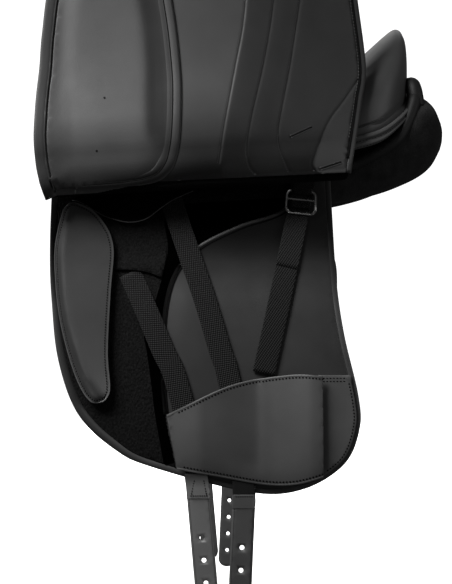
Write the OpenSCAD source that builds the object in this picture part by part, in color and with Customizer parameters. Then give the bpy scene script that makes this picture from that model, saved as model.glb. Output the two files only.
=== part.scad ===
// Dressage saddle with thigh blocks on hook-and-loop and webbing girth straps.
// Front is -X, rear is +X, the near side is -Y and +Z is up.
// The origin is on the centreline, just below the height of the flaps' folds.
// At rest the near flap is lifted over the seat and the far flap hangs.

/* [Barrel] */
// Radius of the curve that the sweat flaps lie on
barrel_r = 900; // [800:10:1000]
// Half width of the saddle at the barrel's widest line
barrel_half_w = 215; // [205:1:225]
// Depth of the barrel's widest line below the origin
barrel_drop = 360; // [350:1:370]

/* [Sweat flap] */
// Reach of the sweat flap towards the front
sweat_front = 177; // [172:1:182]
// Reach of the sweat flap towards the rear
sweat_rear = 167; // [163:1:175]
// Depth of the sweat flap below the origin
sweat_depth = 330; // [325:1:335]
// Thickness of the sweat flap
sweat_t = 3; // [2.5:0.1:3.5]
// Width of the bound edge
binding_w = 5; // [4:0.5:7]
// Thickness of the loop fabric
loop_t = 1.5; // [1:0.1:1.8]
// Thickness of the leather facing
facing_t = 2; // [1.8:0.1:2.4]
// Thickness of the point cover
cover_t = 1.6; // [1.2:0.1:1.8]
// Width of the raised bead along the facing
bead_w = 6; // [4:0.5:8]
// Height of the raised bead
bead_h = 1.8; // [1:0.1:2.5]

/* [Thigh block] */
// Height of the thigh block's crown
block_h = 28; // [22:1:29]
// Height of the thigh block's piped side
block_edge_h = 8; // [5:0.5:12]
// Thickness of the hook pad under the block
hook_t = 1.5; // [1:0.1:2]

/* [Girthing] */
// Width of the webbing straps and girth points
strap_w = 25; // [22:0.5:28]
// Thickness of the webbing
strap_t = 2.2; // [1.6:0.1:2.6]
// Thickness of the girth points
point_t = 4; // [3:0.2:4.4]
// Length of the girth points
point_len = 200; // [160:5:240]
// Radius of the girth point holes
point_hole_r = 2.5; // [2:0.1:3]
// Spacing of the girth point holes
point_hole_pitch = 25; // [20:1:26]
// Number of holes in a girth point
point_holes = 6; // [4:1:6]
// Room between the facing and the pocket
pocket_room = 6.6; // [6.6:0.1:8]
// Thickness of the pocket leather
pocket_t = 2.3; // [1.6:0.1:3]
// Width of the slide buckle's bars
buckle_bar = 3.5; // [3:0.1:4]
// Height of the slide buckle along the strap
buckle_len = 27; // [24:1:30]

/* [Flap] */
// Thickness of the flap
flap_t = 5; // [4:0.2:6]
// Thickness of the padded front section
pad_t = 4; // [3:0.2:5]
// Radius of the hanging flap's curve
flap_r = 600; // [560:10:640]
// Slope of the hanging flap at its fold, from the vertical
flap_slope = 28; // [27:0.5:30]
// Reach of the flap towards the front
flap_front = 187; // [184:1:192]
// Reach of the flap towards the rear
flap_rear = 190; // [184:1:196]
// Depth of the flap below its fold
flap_depth = 352; // [345:1:360]
// Half width of the saddle at the fold
fold_half_w = 185; // [184:0.5:188]
// Height of the fold above the origin
fold_z = 10; // [9:0.5:11]
// Rise of the fold towards the rear, in degrees
fold_pitch = 3.5; // [3:0.1:4]
// Radius of the rolled edge that the flap folds on
roll_r = 7; // [6.5:0.1:7.5]
// Turn of the near flap from hanging to lifted
lift_angle = 176; // [172:0.5:178]

/* [Seat] */
// Thickness of the seat leather
cover_leather_t = 2.5; // [2:0.1:3]
// Thickness of the seat foam over the tree
foam_t = 28; // [24:1:30]
// Thickness of the tree's shell
tree_t = 8; // [6:0.5:10]
// Thickness of the skirt leather
skirt_t = 3; // [2:0.1:3.5]
// Radius of the welt along the seat's edge
welt_r = 2.2; // [1.5:0.1:2.5]
// Thickness of the gullet plate
gullet_t = 4; // [3:0.2:5]
// Radius of the stirrup bar
bar_r = 4; // [3.5:0.1:4.2]

/* [Hidden] */

// Clearance between pieces that lie against each other
gap = 0.3;
// Facets of the large sheet curves and of small round pieces
sheet_fn = 720;
round_fn = 48;
// Depth of the prism that cuts the near side's sheets
prism_near = 60;
prism_far = 330;
sheet_len = 460;

// Radial seats of the layers on the sweat flap, outward from its inner face
layer_z = sweat_t;
loop_top = layer_z + loop_t;
facing_top = layer_z + facing_t;
strap_seat = facing_top + bead_h + gap;
strap_top = strap_seat + strap_t;
point_mid = strap_seat + point_t / 2;
pocket_seat = facing_top + pocket_room;
pocket_top = pocket_seat + pocket_t;
cover_seat = strap_top + gap;
hook_seat = loop_top + gap;
block_seat = hook_seat + hook_t + gap;

// Centre of the barrel curve on the near side
barrel_y = barrel_r - barrel_half_w;

function flip(p) = [for (i = [len(p) - 1 : -1 : 0]) p[i]];

// Smooth curve through the points, with n steps in each span
function span_pt(a, b, c, d, t) =
    0.5 * (2 * b + (c - a) * t + (2 * a - 5 * b + 4 * c - d) * t * t
        + (3 * b - a - 3 * c + d) * t * t * t);
function curve(p, n = 4) =
    let (last = len(p) - 1)
    [for (i = [0 : last - 1], k = [0 : n - 1])
        span_pt(p[max(i - 1, 0)], p[i], p[i + 1], p[min(i + 2, last)], k / n), p[last]];

// Left-hand offset of a closed outline or of an open line
function side(v) = [-v[1], v[0]] / norm(v);
function inset(p, d) =
    let (n = len(p))
    [for (i = [0 : n - 1]) p[i] + d * side(p[(i + 1) % n] - p[(i + n - 1) % n])];
function shift(p, d) =
    let (last = len(p) - 1)
    [for (i = [0 : last]) p[i] + d * side(p[min(i + 1, last)] - p[max(i - 1, 0)])];
function band(p, w) = concat(shift(p, -w / 2), flip(shift(p, w / 2)));

// Point on the near side's barrel curve, at a height on the sweat flap's inner face
function slope_at(z) = asin((z + barrel_drop) / barrel_r);
function on_barrel(x, z, off) =
    [x, barrel_y - (barrel_r + off) * cos(slope_at(z)),
        (barrel_r + off) * sin(slope_at(z)) - barrel_drop];

// Closed body through a list of loops that have the same number of points
module loft(loops) {
    n = len(loops[0]);
    m = len(loops);
    pts = [for (loop = loops) each loop];
    sides = [for (i = [0 : m - 2], j = [0 : n - 1])
        let (a = i * n + j, b = i * n + (j + 1) % n, c = b + n, d = a + n)
        each [[a, b, c], [a, c, d]]];
    polyhedron(pts, concat([[for (j = [n - 1 : -1 : 0]) j]], sides,
        [[for (j = [0 : n - 1]) (m - 1) * n + j]]), convexity = 6);
}

// Loft of loops that are arches: the end caps are strips, because an arch is not convex
module arch_loft(outer, inner) {
    n = len(outer[0]);
    m = len(outer);
    pts = [for (i = [0 : m - 1]) each concat(outer[i], flip(inner[i]))];
    k = 2 * n;
    sides = [for (i = [0 : m - 2], j = [0 : k - 1])
        let (a = i * k + j, b = i * k + (j + 1) % k, c = b + k, d = a + k)
        each j < n ? [[a, b, c], [a, c, d]] : [[a, b, d], [b, c, d]]];
    front = [for (j = [0 : n - 2]) each [[j + 1, j, k - 1 - j], [j + 1, k - 1 - j, k - 2 - j]]];
    e = (m - 1) * k;
    rear = [for (f = front) [e + f[0], e + f[2], e + f[1]]];
    polyhedron(pts, concat(front, sides, rear), convexity = 6);
}

module far_side() {
    mirror([0, 1, 0]) children();
}

// Prism on the near side of an outline drawn in X and Z
module side_prism(near = prism_near) {
    rotate([90, 0, 0])
        translate([0, 0, near])
            linear_extrude(height = prism_far - near) children();
}

// Tube wall along X
module wall_x(r_in, r_out) {
    rotate([0, 90, 0])
        difference() {
            cylinder(r = r_out, h = sheet_len, center = true, $fn = sheet_fn);
            cylinder(r = r_in, h = sheet_len + 2, center = true, $fn = sheet_fn);
        }
}

// Sheet on the barrel curve between two radial seats
module barrel_sheet(low, high) {
    difference() {
        intersection() {
            translate([0, barrel_y, -barrel_drop]) wall_x(barrel_r + low, barrel_r + high);
            side_prism(layer_in) children();
        }
        above_root();
    }
}

// Frame of the near flap's fold: X runs along the fold
module fold_frame() {
    translate([0, -fold_half_w, fold_z]) rotate([0, -fold_pitch, 0]) children();
}

// Root strip of the flap: where it meets the tree, and its rise from the horizontal
root_in = 121.3;
// No layer of the sweat flap comes nearer to the tree
layer_in = root_in + gap;
root_rise = 24;
root_len = (fold_half_w - root_in) / cos(root_rise);
root_t = 3.5;
root_front = 158;
root_rear = 140;

// Space above the root strip, where no layer of the sweat flap reaches
module above_root() {
    fold_frame()
        rotate([root_rise, 0, 0])
            translate([-sheet_len / 2, -prism_near, -root_t / 2 - gap])
                cube([sheet_len, 4 * root_len, 4 * root_len]);
}

// Outline of the sweat flap, from its top front corner down, round and up
sweat_top = 60;
sweat_line = curve([[-sweat_front, sweat_top], [-sweat_front + 1, -60], [-sweat_front + 5, -120],
    [-sweat_front + 15, -185], [-sweat_front + 37, -sweat_depth + 87],
    [-sweat_front + 77, -sweat_depth + 48], [-60, -sweat_depth + 28], [47, -sweat_depth],
    [105, -sweat_depth + 3], [sweat_rear - 17, -sweat_depth + 30], [sweat_rear, -sweat_depth + 68],
    [sweat_rear - 1, -225], [sweat_rear - 15, -160], [sweat_rear - 22, -100], [sweat_rear - 24, -20],
    [sweat_rear - 24, sweat_top]]);
// Edge of the leather facing, from the fold down to the sweat flap's bottom
facing_line = curve([[98, sweat_top], [91, -16], [36, -38], [-8, -60], [-35, -88], [-48, -132],
    [-50, -200], [-47, -245], [-39, -285], [-33, -sweat_depth - 20]]);
layer_inset = binding_w + 1;
outside = 260;

module sweat_outline(d) {
    polygon(inset(sweat_line, d));
}

// The part of the sweat flap in front of the facing's edge, or behind it
module before_facing(d) {
    polygon(concat(shift(facing_line, d), [[-outside, -sweat_depth - 20], [-outside, sweat_top]]));
}

module behind_facing(d) {
    polygon(concat(shift(facing_line, d), [[outside, -sweat_depth - 20], [outside, sweat_top]]));
}

module sweat_flap() {
    color("#1b1b1d")
        difference() {
            barrel_sheet(0, sweat_t) sweat_outline(binding_w);
            strap_slot();
        }
}

binding_proud = 1.2;
module sweat_binding() {
    color("#141415")
        barrel_sheet(0, sweat_t + binding_proud)
            difference() {
                sweat_outline(0);
                sweat_outline(binding_w);
            }
}

module loop_patch() {
    color("#0d0d0e")
        difference() {
            barrel_sheet(layer_z, loop_top)
                intersection() {
                    sweat_outline(layer_inset);
                    before_facing(-gap);
                }
            strap_slot();
        }
}

module facing() {
    color("#2a2a2c")
        barrel_sheet(layer_z, facing_top)
            intersection() {
                sweat_outline(layer_inset);
                behind_facing(0);
            }
}

// Raised bead along the facing's edge, down to the pocket
bead_edge = 1;
module facing_bead() {
    line = [for (p = facing_line) if (p[1] > bead_low) p];
    color("#242426")
        barrel_sheet(facing_top, facing_top + bead_h)
            polygon(concat(shift(line, bead_edge), flip(shift(line, bead_edge + bead_w))));
}

// The tree point's cover, with its wavy lower edge
point_line = curve([[-104, -8], [-97, -28], [-80, -34], [-66, -30], [-55, -21], [-32, -6], [-12, 4]]);
module point_cover() {
    color("#29292b")
        barrel_sheet(cover_seat, cover_seat + cover_t)
            polygon(concat(point_line, [[-12, 20], [-104, 20]]));
}

// Rows of the thigh block from the top down: height, front edge, rear edge, share of the crown
block_rows = curve([[-12, -156, -146, 0.25], [-22, -160, -127, 0.55], [-45, -166, -111, 0.82],
    [-75, -169, -104, 0.95], [-115, -166, -106, 1], [-165, -155, -108, 0.94],
    [-205, -143, -107, 0.78], [-224, -131, -107, 0.55], [-231, -124, -113, 0.25]], 2);
block_steps = 10;
// Crest near the block's front edge: a steep front, and a gentle slope to the rear
crest_at = 0.22;
front_power = 2.4;
rear_power = 1.5;
function block_crown(s, h) = block_edge_h * min(1, h / block_edge_h)
    + max(0, h - block_edge_h) * (1 - (s < crest_at ? pow(1 - s / crest_at, front_power)
        : pow((s - crest_at) / (1 - crest_at), rear_power)));
function block_loop(row) =
    concat([for (s = [0, 1]) on_barrel(row[1] + s * (row[2] - row[1]), row[0], block_seat)],
        [for (k = [block_steps : -1 : 0])
            let (s = k / block_steps)
            on_barrel(row[1] + s * (row[2] - row[1]), row[0],
                block_seat + block_crown(s, block_h * row[3]))]);

module thigh_block() {
    color("#2d2d2f") loft([for (row = block_rows) flip(block_loop(row))]);
}

hook_inset = 5;
module hook_pad() {
    rows = [for (i = [3 : len(block_rows) - 4]) block_rows[i]];
    color("#101011")
        barrel_sheet(hook_seat, hook_seat + hook_t)
            polygon(concat([for (r = rows) [r[1] + hook_inset, r[0]]],
                flip([for (r = rows) [r[2] - hook_inset, r[0]]])));
}

// Centre lines of the webbing straps, and the fold lines of the girth points
front_fold = [-10, 2 - sweat_depth];
middle_fold = [40, -9 - sweat_depth];
front_line = [[-86, -92], [-27, -235], [-13, -290], front_fold];
middle_line = [[-40, 18], [26, -214], [39, -290], middle_fold];
rear_line = [[114, 20], [62, -201]];
front_lean = -5;
middle_lean = 2.5;
point_roll_r = 2.4;
fold_gap = 0.5;

// Slot in the sweat flap where the front strap comes through
slot_room = 1;
module strap_slot() {
    translate([0, 0, front_line[0][1]])
        side_prism()
            translate([front_line[0][0] - strap_w / 2 - slot_room, -slot_room])
                square([strap_w + 2 * slot_room, strap_t + 2 * slot_room]);
}

// Frame of a girth point's fold, on the near side
module point_frame(fold, lean) {
    translate(on_barrel(fold[0], fold[1], point_mid)) rotate([0, lean, 0]) children();
}

module point_roll(fold, lean) {
    point_frame(fold, lean)
        rotate([0, 90, 0]) cylinder(r = point_roll_r, h = strap_w, center = true, $fn = round_fn);
}

module strap_front() {
    color("#161617")
        union() {
            barrel_sheet(strap_seat, strap_top) polygon(band(front_line, strap_w));
            point_roll(front_fold, front_lean);
            intersection() {
                translate([0, barrel_y, -barrel_drop])
                    wall_x(barrel_r - strap_t, barrel_r + strap_top);
                side_prism()
                    translate([front_line[0][0] - strap_w / 2, front_line[0][1]])
                        square([strap_w, strap_t]);
            }
        }
}

module strap_middle() {
    color("#161617")
        union() {
            barrel_sheet(strap_seat, strap_top) polygon(band(middle_line, strap_w));
            point_roll(middle_fold, middle_lean);
        }
}

module strap_rear() {
    color("#161617")
        barrel_sheet(strap_seat, strap_top) polygon(band(rear_line, strap_w));
}

// Place of the slide buckle on the rear strap
buckle_at = [106.5, -12];
buckle_t = 2.6;
buckle_room = 1;
module slide_buckle() {
    lean = atan((rear_line[0][0] - rear_line[1][0]) / (rear_line[0][1] - rear_line[1][1])
        * cos(slope_at(buckle_at[1])));
    inner_w = strap_w + 2 * buckle_room;
    outer_w = inner_w + 2 * buckle_bar;
    color("#b9bbbd")
        translate(on_barrel(buckle_at[0], buckle_at[1], strap_top + gap))
            rotate([-slope_at(buckle_at[1]), 0, 0])
                rotate([0, lean, 0])
                    rotate([90, 0, 0])
                        difference() {
                            translate([-outer_w / 2, -buckle_len / 2, 0])
                                cube([outer_w, buckle_len, buckle_t]);
                            for (s = [-1, 1])
                                translate([0, s * (buckle_len / 4 - buckle_bar / 8),
                                    buckle_t / 2])
                                    cube([inner_w, buckle_len / 2 - 5 / 4 * buckle_bar,
                                        2 * buckle_t], center = true);
                        }
}

// Pocket over the straps: its upper edge, its front edge and its lower edge
pocket_low = curve([[-33, 27 - sweat_depth], [10, 19 - sweat_depth], [60, 10 - sweat_depth],
    [95, 10 - sweat_depth], [126, 18 - sweat_depth]]);
pocket_high = curve([[126, -203], [90, -202], [24, -214], [-44, -245]]);
bead_low = pocket_high[len(pocket_high) - 1][1];
rim_w = 5;
module pocket() {
    color("#2c2c2e")
        union() {
            barrel_sheet(pocket_seat, pocket_top) polygon(concat(pocket_low, pocket_high));
            barrel_sheet(facing_top, pocket_top)
                polygon([pocket_high[len(pocket_high) - 1], pocket_low[0],
                    pocket_low[0] + [rim_w, 0], pocket_high[len(pocket_high) - 1] + [rim_w, 0]]);
            barrel_sheet(facing_top, pocket_top)
                polygon([pocket_low[len(pocket_low) - 1], pocket_high[0],
                    pocket_high[0] - [rim_w, 0], pocket_low[len(pocket_low) - 1] - [rim_w, 0]]);
        }
}

module pocket_side() {
    color("#262628")
        barrel_sheet(facing_top, pocket_top - pocket_t)
            intersection() {
                sweat_outline(layer_inset);
                translate([pocket_high[0][0] + gap, -sweat_depth])
                    square([outside, sweat_depth + pocket_high[0][1]]);
            }
}

// Girth point: it hangs from its fold, with its holes towards its tip
point_tip_r = 9;
module girth_point(fold, lean) {
    top = -point_roll_r - fold_gap;
    color("#232324")
        point_frame(fold, lean)
            rotate([90, 0, 0])
                difference() {
                    translate([0, 0, -point_t / 2])
                        linear_extrude(height = point_t)
                            polygon([[-strap_w / 2, top], [-strap_w / 2, point_tip_r - point_len],
                                [-strap_w / 2 + point_tip_r, -point_len],
                                [strap_w / 2 - point_tip_r, -point_len],
                                [strap_w / 2, point_tip_r - point_len], [strap_w / 2, top]]);
                    for (k = [1 : point_holes])
                        translate([0, k * point_hole_pitch - point_len, 0])
                            cylinder(r = point_hole_r, h = 3 * point_t, center = true,
                                $fn = round_fn);
                }
}

// Hanging flap in the fold's frame: outline from the fold's front end down, round and up
flap_top = 20;
flap_line = curve([[-flap_front + 9, flap_top], [-flap_front, -40], [-flap_front - 1, -80],
    [-flap_front + 5, -130], [-flap_front + 11, -180], [-flap_front + 23, -flap_depth + 112],
    [-flap_front + 55, -flap_depth + 52], [-70, -flap_depth + 14], [20, -flap_depth], [110, -flap_depth + 7],
    [flap_rear - 25, -flap_depth + 42], [flap_rear, -flap_depth + 102], [flap_rear + 2, -180],
    [flap_rear - 4, -110], [flap_rear - 20, -50], [flap_rear - 33, flap_top]]);
flap_binding_w = 10;
flap_inner = flap_r - flap_t / 2;

module flap_sheet(r_in, r_out) {
    difference() {
        intersection() {
            translate([0, flap_r * cos(flap_slope), -flap_r * sin(flap_slope)])
                wall_x(r_in, r_out);
            translate([0, prism_far / 2 + prism_near, 0]) side_prism() children();
        }
        rotate([0, 90, 0])
            cylinder(r = roll_r + fold_gap, h = sheet_len, center = true, $fn = round_fn);
        translate([-sheet_len / 2, -prism_near, -roll_r / 2])
            cube([sheet_len, 2 * prism_near, 2 * prism_near]);
    }
}

// Slits in the flap that keep the stirrup leather's end
keeper_slits = [[108, -46], [135, -19]];
slit_len = 26;
slit_w = 3;
slit_turn = 18;
module keeper_slits() {
    for (at = keeper_slits)
        translate([at[0], 0, at[1]])
            rotate([0, slit_turn, 0]) cube([slit_len, 2 * prism_far, slit_w], center = true);
}

module flap() {
    color("#262628")
        difference() {
            flap_sheet(flap_inner, flap_r + flap_t / 2) polygon(inset(flap_line, flap_binding_w));
            keeper_slits();
        }
}

flap_proud = 1;
module flap_binding() {
    color("#1f1f21")
        flap_sheet(flap_inner - flap_proud, flap_r + flap_t / 2 + flap_proud)
            difference() {
                polygon(flap_line);
                polygon(inset(flap_line, flap_binding_w));
            }
}

// Padded section on the inner face of the flap's front
pad_front = 14;
pad_top = -20;
pad_low = -300;
pad_line = curve([[-44, -26], [-36, -70], [-32, -160], [-40, -250], [-62, pad_low]]);
module flap_pad() {
    color("#2d2d2f")
        flap_sheet(flap_inner - pad_t, flap_inner)
            intersection() {
                polygon(inset(flap_line, pad_front));
                polygon(concat([[-outside, pad_top], [-outside, pad_low]], flip(pad_line)));
            }
}

// Places the near flap at its lifted rest
module lifted() {
    fold_frame() rotate([-lift_angle, 0, 0]) children();
}

module flap_root() {
    color("#1d1d1f")
        fold_frame()
            union() {
                rotate([0, 90, 0])
                    translate([0, 0, flap_line[0][0]])
                        cylinder(r = roll_r, h = flap_line[len(flap_line) - 1][0] - flap_line[0][0],
                            $fn = round_fn);
                rotate([root_rise, 0, 0])
                    translate([-root_front, 0, -root_t / 2])
                        cube([root_front + root_rear, root_len, root_t]);
            }
}

// Stations of the seat from pommel to cantle: place, half width, edge height, top height
seat_rows = curve([[-186, 62, 128, 158], [-165, 86, 112, 172], [-125, 108, 92, 160],
    [-60, 120, 76, 128], [0, 130, 66, 110], [60, 140, 57, 108], [120, 150, 50, 122],
    [168, 150, 62, 150], [203, 138, 82, 182], [225, 116, 102, 202], [237, 90, 116, 211],
    [243, 56, 138, 209]], 2);
// Sides of the tree: place, half width, edge height. Its stations are the seat's own.
tree_line = curve([[-160, 96, 42], [-120, 102, 42], [-60, 106, 40], [0, 121, 34], [60, 120, 34],
    [120, 116, 40], [168, 110, 66], [206, 98, 92]], 2);
tree_front = -170;
tree_rear = 205;
tree_rows = [for (r = seat_rows) if (r[0] > tree_front && r[0] < tree_rear) row_at(tree_line, r[0])];
arch_steps = 12;
seat_power = 0.7;

function row_at(rows, x, i = 0) =
    (i >= len(rows) - 2 || x <= rows[i + 1][0])
        ? let (t = (x - rows[i][0]) / (rows[i + 1][0] - rows[i][0]))
            rows[i] + t * (rows[i + 1] - rows[i])
        : row_at(rows, x, i + 1);
function arch(x, w, low, high, power) =
    [for (k = [0 : arch_steps])
        let (t = 180 * k / arch_steps)
        [x, -w * cos(t), low + (high - low) * pow(max(0, sin(t)), power)]];
function seat_arch(row, d) = arch(row[0], row[1] - d, row[2], row[3] - d, seat_power);
function tree_top(x) = row_at(seat_rows, x)[3] - cover_leather_t - foam_t - 2 * gap;
function tree_arch(row, d) = arch(row[0], row[1] - d, row[2], tree_top(row[0]) - d, 1);
// Underside of the foam: an arch from the seat's edge over the tree
foam_room = 1.3;
foam_arch = 2;
function foam_inner(row) =
    let (t_row = row_at(tree_rows, row[0]), low = t_row[2], edge = max(row[2], low),
        top = max(tree_top(row[0]) + foam_room, edge + foam_arch),
        rise = min(0.98, (edge - low) / (top - low)))
    arch(row[0], (t_row[1] + foam_room) * sqrt(1 - rise * rise), edge, top, 1);

module seat_cover() {
    color("#202022")
        arch_loft([for (r = seat_rows) seat_arch(r, 0)],
            [for (r = seat_rows) seat_arch(r, cover_leather_t)]);
}

foam_rear = 3;
module seat_foam() {
    rows = [for (i = [0 : len(seat_rows) - 1 - foam_rear]) seat_rows[i]];
    color("#3a3a3c")
        arch_loft([for (r = rows) seat_arch(r, cover_leather_t + 3 * gap)],
            [for (r = rows) foam_inner(r)]);
}

module tree() {
    color("#121213")
        arch_loft([for (r = tree_rows) tree_arch(r, 0)], [for (r = tree_rows) tree_arch(r, tree_t)]);
}

plate_t = 3;
module pommel_facing() {
    row = seat_rows[0];
    inner = foam_inner(row);
    color("#1f1f21")
        arch_loft(
            [for (d = [plate_t + gap, gap]) [for (p = seat_arch(row, 0)) p - [d, 0, 0]]],
            [for (d = [plate_t + gap, gap]) [for (p = inner) p - [d, 0, 0]]]);
}

module cantle_back() {
    row = seat_rows[len(seat_rows) - 1];
    color("#1f1f21")
        loft([for (d = [gap, plate_t + gap]) [for (p = seat_arch(row, 0)) p + [d, 0, 0]]]);
}

gullet_rows = [for (i = [1 : 3]) tree_rows[i]];
gullet_seat = tree_t + 2 * gap;
module gullet_plate() {
    color("#8b8d90")
        arch_loft([for (r = gullet_rows) tree_arch(r, gullet_seat)],
            [for (r = gullet_rows) tree_arch(r, gullet_seat + gullet_t)]);
}

// Screw heads on the gullet plate's flat facets, two on each side
screw_r = 5;
screw_h = 4;
module plate_screws() {
    face = tree_arch(gullet_rows[1], gullet_seat + gullet_t);
    for (k = [0, 1])
        translate((face[k] + face[k + 1]) / 2)
            rotate([-90 - atan2(face[k + 1][1] - face[k][1], face[k + 1][2] - face[k][2]), 0, 0])
                translate([0, 0, 3 * gap]) cylinder(r = screw_r, h = screw_h, $fn = round_fn);
}

module gullet_screws() {
    color("#a9abad") {
        plate_screws();
        far_side() plate_screws();
    }
}

// Welts along the seat's rear edge, near and far
welt_front = 70;
welt_sides = 8;
welt_rear = 241;
welt_lift = 1;
function welt_path() =
    let (rows = [for (r = seat_rows) if (r[0] > welt_front && r[0] < welt_rear) r],
        last = len(rows) - 1)
    [for (i = [0 : last])
        let (t = rows[min(i + 1, last)] - rows[max(i - 1, 0)], out = side([t[0], -t[1]]))
        [rows[i][0], -rows[i][1], rows[i][2] + welt_lift]
            - (welt_r + 2 * gap) * [out[0], out[1], 0]];
function tube_ring(a, at, b, r, n) =
    let (t = (b - a) / norm(b - a), u = cross(t, [0, 0, 1]) / norm(cross(t, [0, 0, 1])),
        v = cross(u, t))
    [for (k = [0 : n - 1]) at + r * (cos(360 * k / n) * u + sin(360 * k / n) * v)];
module welt() {
    p = welt_path();
    last = len(p) - 1;
    loft([for (i = [0 : last])
        tube_ring(p[max(i - 1, 0)], p[i], p[min(i + 1, last)], welt_r, welt_sides)]);
}

module seat_welt() {
    color("#19191a") {
        welt();
        far_side() welt();
    }
}

// Band under the seat's rear edge
band_front = 140;
band_rear = 228;
band_rows = [for (r = seat_rows) if (r[0] > band_front && r[0] < band_rear) r];
band_h = 12;
band_tuck = 5;
band_t = 4;
module rear_band() {
    color("#1c1c1e")
        loft([for (r = band_rows)
            [[r[0], -r[1], r[2] - 2 * gap], [r[0], -r[1] + band_tuck, r[2] - band_h],
                [r[0], -r[1] + band_tuck + band_t, r[2] - band_h],
                [r[0], -r[1] + 2 * band_t, r[2] - 2 * gap]]]);
}

// Skirt over the stirrup bar
skirt_rows = [for (x = [-140 : 20 : 60]) row_at(seat_rows, x)];
skirt_low = 30;
skirt_half_w = 154;
skirt_mid = -40;
skirt_curl = 0.0022;
skirt_lap = 4;
module skirt() {
    color("#232325")
        loft([for (r = skirt_rows)
            let (low = skirt_low + skirt_curl * pow(r[0] - skirt_mid, 2), y = r[1] + 2 * gap)
            [[r[0], -y, r[2] + skirt_lap], [r[0], -y - skirt_t, r[2] + skirt_lap],
                [r[0], -skirt_half_w - skirt_t, low], [r[0], -skirt_half_w, low]]]);
}

// Sections of a panel: place, half width, half thickness, tilt and height.
// The seated ones bear on the sweat flap, and the rear ones stand clear of it.
panel_steps = 24;
panel_power = 0.7;
panel_gap = 0.2;
panel_seated = [[-158, 34, 12, 25, 10], [-146, 46, 19, 25, 13], [-60, 51, 22, 26, 15],
    [40, 52, 23, 26, 15], [120, 52, 25, 26, 15]];
panel_rear = [[170, -82, 22, 49, 32, 22], [212, -78, 46, 46, 40, 18], [246, -73, 64, 42, 45, 14],
    [268, -70, 71, 32, 35, 12], [280, -68, 72, 17, 17, 12]];
// Reach of a section's rounded outline along the sweat flap's normal
conjugate = 2 / (2 - panel_power);
function reach(r) =
    let (turn = r[3] + slope_at(r[4]))
    pow(pow(r[1] * cos(turn), conjugate) + pow(r[2] * sin(turn), conjugate), 1 / conjugate);
function seated_row(r) =
    let (d = barrel_r - panel_gap - reach(r), turn = asin((r[4] + barrel_drop) / d))
    [r[0], barrel_y - d * cos(turn), r[4], r[1], r[2], r[3]];
panel_rows = curve(concat([for (r = panel_seated) seated_row(r)], panel_rear), 2);
function super(v, p) = sign(v) * pow(abs(v), p);
function panel_loop(r) =
    [for (k = [0 : panel_steps - 1])
        let (t = 360 * k / panel_steps, p = r[3] * super(cos(t), panel_power),
            q = r[4] * super(sin(t), panel_power))
        [r[0], r[1] - p * cos(r[5]) - q * sin(r[5]), r[2] - p * sin(r[5]) + q * cos(r[5])]];

module panel() {
    color("#111112") loft([for (r = panel_rows) panel_loop(r)]);
}

// Stirrup bar on the tree's side, with its open end to the rear
bar_x = [-108, -56];
bar_z = 55;
bar_out = 11;
bar_plate_t = 3;
bar_plate_h = 14;
bar_plate_rear = -40;
tongue_len = 12;
tongue_t = 3;
pin_r = 1.5;
pin_play = 0.1;
// Place of the tree's side at a height, on its own flat facets
function arch_side(p, z, k = 0) =
    z <= p[k + 1][2]
        ? p[k][1] + (p[k + 1][1] - p[k][1]) * (z - p[k][2]) / (p[k + 1][2] - p[k][2])
        : arch_side(p, z, k + 1);
function bar_face(x) = arch_side(tree_arch(row_at(tree_rows, x), 0), bar_z - bar_plate_h / 2) - gap;
plate_y = min(bar_face(bar_x[0]), bar_face(bar_x[1]), bar_face(bar_plate_rear));
bar_y = plate_y - bar_plate_t - bar_out;
catch_x = bar_x[1] + tongue_len - bar_r;

module along_y(x, y, z) {
    translate([x, y, z]) rotate([90, 0, 0]) children();
}

module stirrup_bar() {
    color("#9a9c9f")
        difference() {
            union() {
                translate([bar_x[0] - bar_r, plate_y - bar_plate_t, bar_z - bar_plate_h / 2])
                    cube([bar_plate_rear - bar_x[0] + bar_r, bar_plate_t, bar_plate_h]);
                translate([bar_x[0], bar_y, bar_z])
                    rotate([0, 90, 0])
                        cylinder(r = bar_r, h = bar_x[1] - bar_x[0], $fn = round_fn);
                along_y(bar_x[0], plate_y, bar_z)
                    cylinder(r = bar_r, h = bar_plate_t + bar_out, $fn = round_fn);
                translate([bar_x[0], bar_y, bar_z]) sphere(r = bar_r, $fn = round_fn);
                translate([bar_x[1] - 1, bar_y, bar_z - bar_r + 1])
                    cube([tongue_len + 1, tongue_t, 2 * (bar_r - 1)]);
            }
            along_y(catch_x, bar_y + 2 * tongue_t, bar_z)
                cylinder(r = pin_r + pin_play, h = 4 * tongue_t, $fn = round_fn);
            for (x = rivet_x)
                along_y(x, plate_y + 1, bar_z)
                    cylinder(r = rivet_r + pin_play, h = bar_plate_t + 2, $fn = round_fn);
        }
}

rivet_x = [-92, -48];
rivet_r = 2;
rivet_head_r = 3.5;
rivet_head_h = 1.6;
module rivet(x) {
    along_y(x, plate_y, bar_z) cylinder(r = rivet_r, h = bar_plate_t + gap, $fn = round_fn);
    along_y(x, plate_y - bar_plate_t - gap, bar_z)
        cylinder(r = rivet_head_r, h = rivet_head_h, $fn = round_fn);
}

module bar_rivets() {
    color("#b0b2b4")
        for (x = rivet_x) {
            rivet(x);
            far_side() rivet(x);
        }
}

catch_len = 13;
module bar_catch() {
    color("#a4a6a9")
        difference() {
            union() {
                along_y(catch_x, bar_y - gap, bar_z)
                    cylinder(r = bar_r, h = tongue_t, $fn = round_fn);
                translate([catch_x, bar_y - gap - tongue_t, bar_z - bar_r + 1])
                    cube([catch_len, tongue_t, 2 * (bar_r - 1)]);
            }
            along_y(catch_x, bar_y + 1, bar_z)
                cylinder(r = pin_r + pin_play, h = 2 * tongue_t, $fn = round_fn);
        }
}

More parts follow.
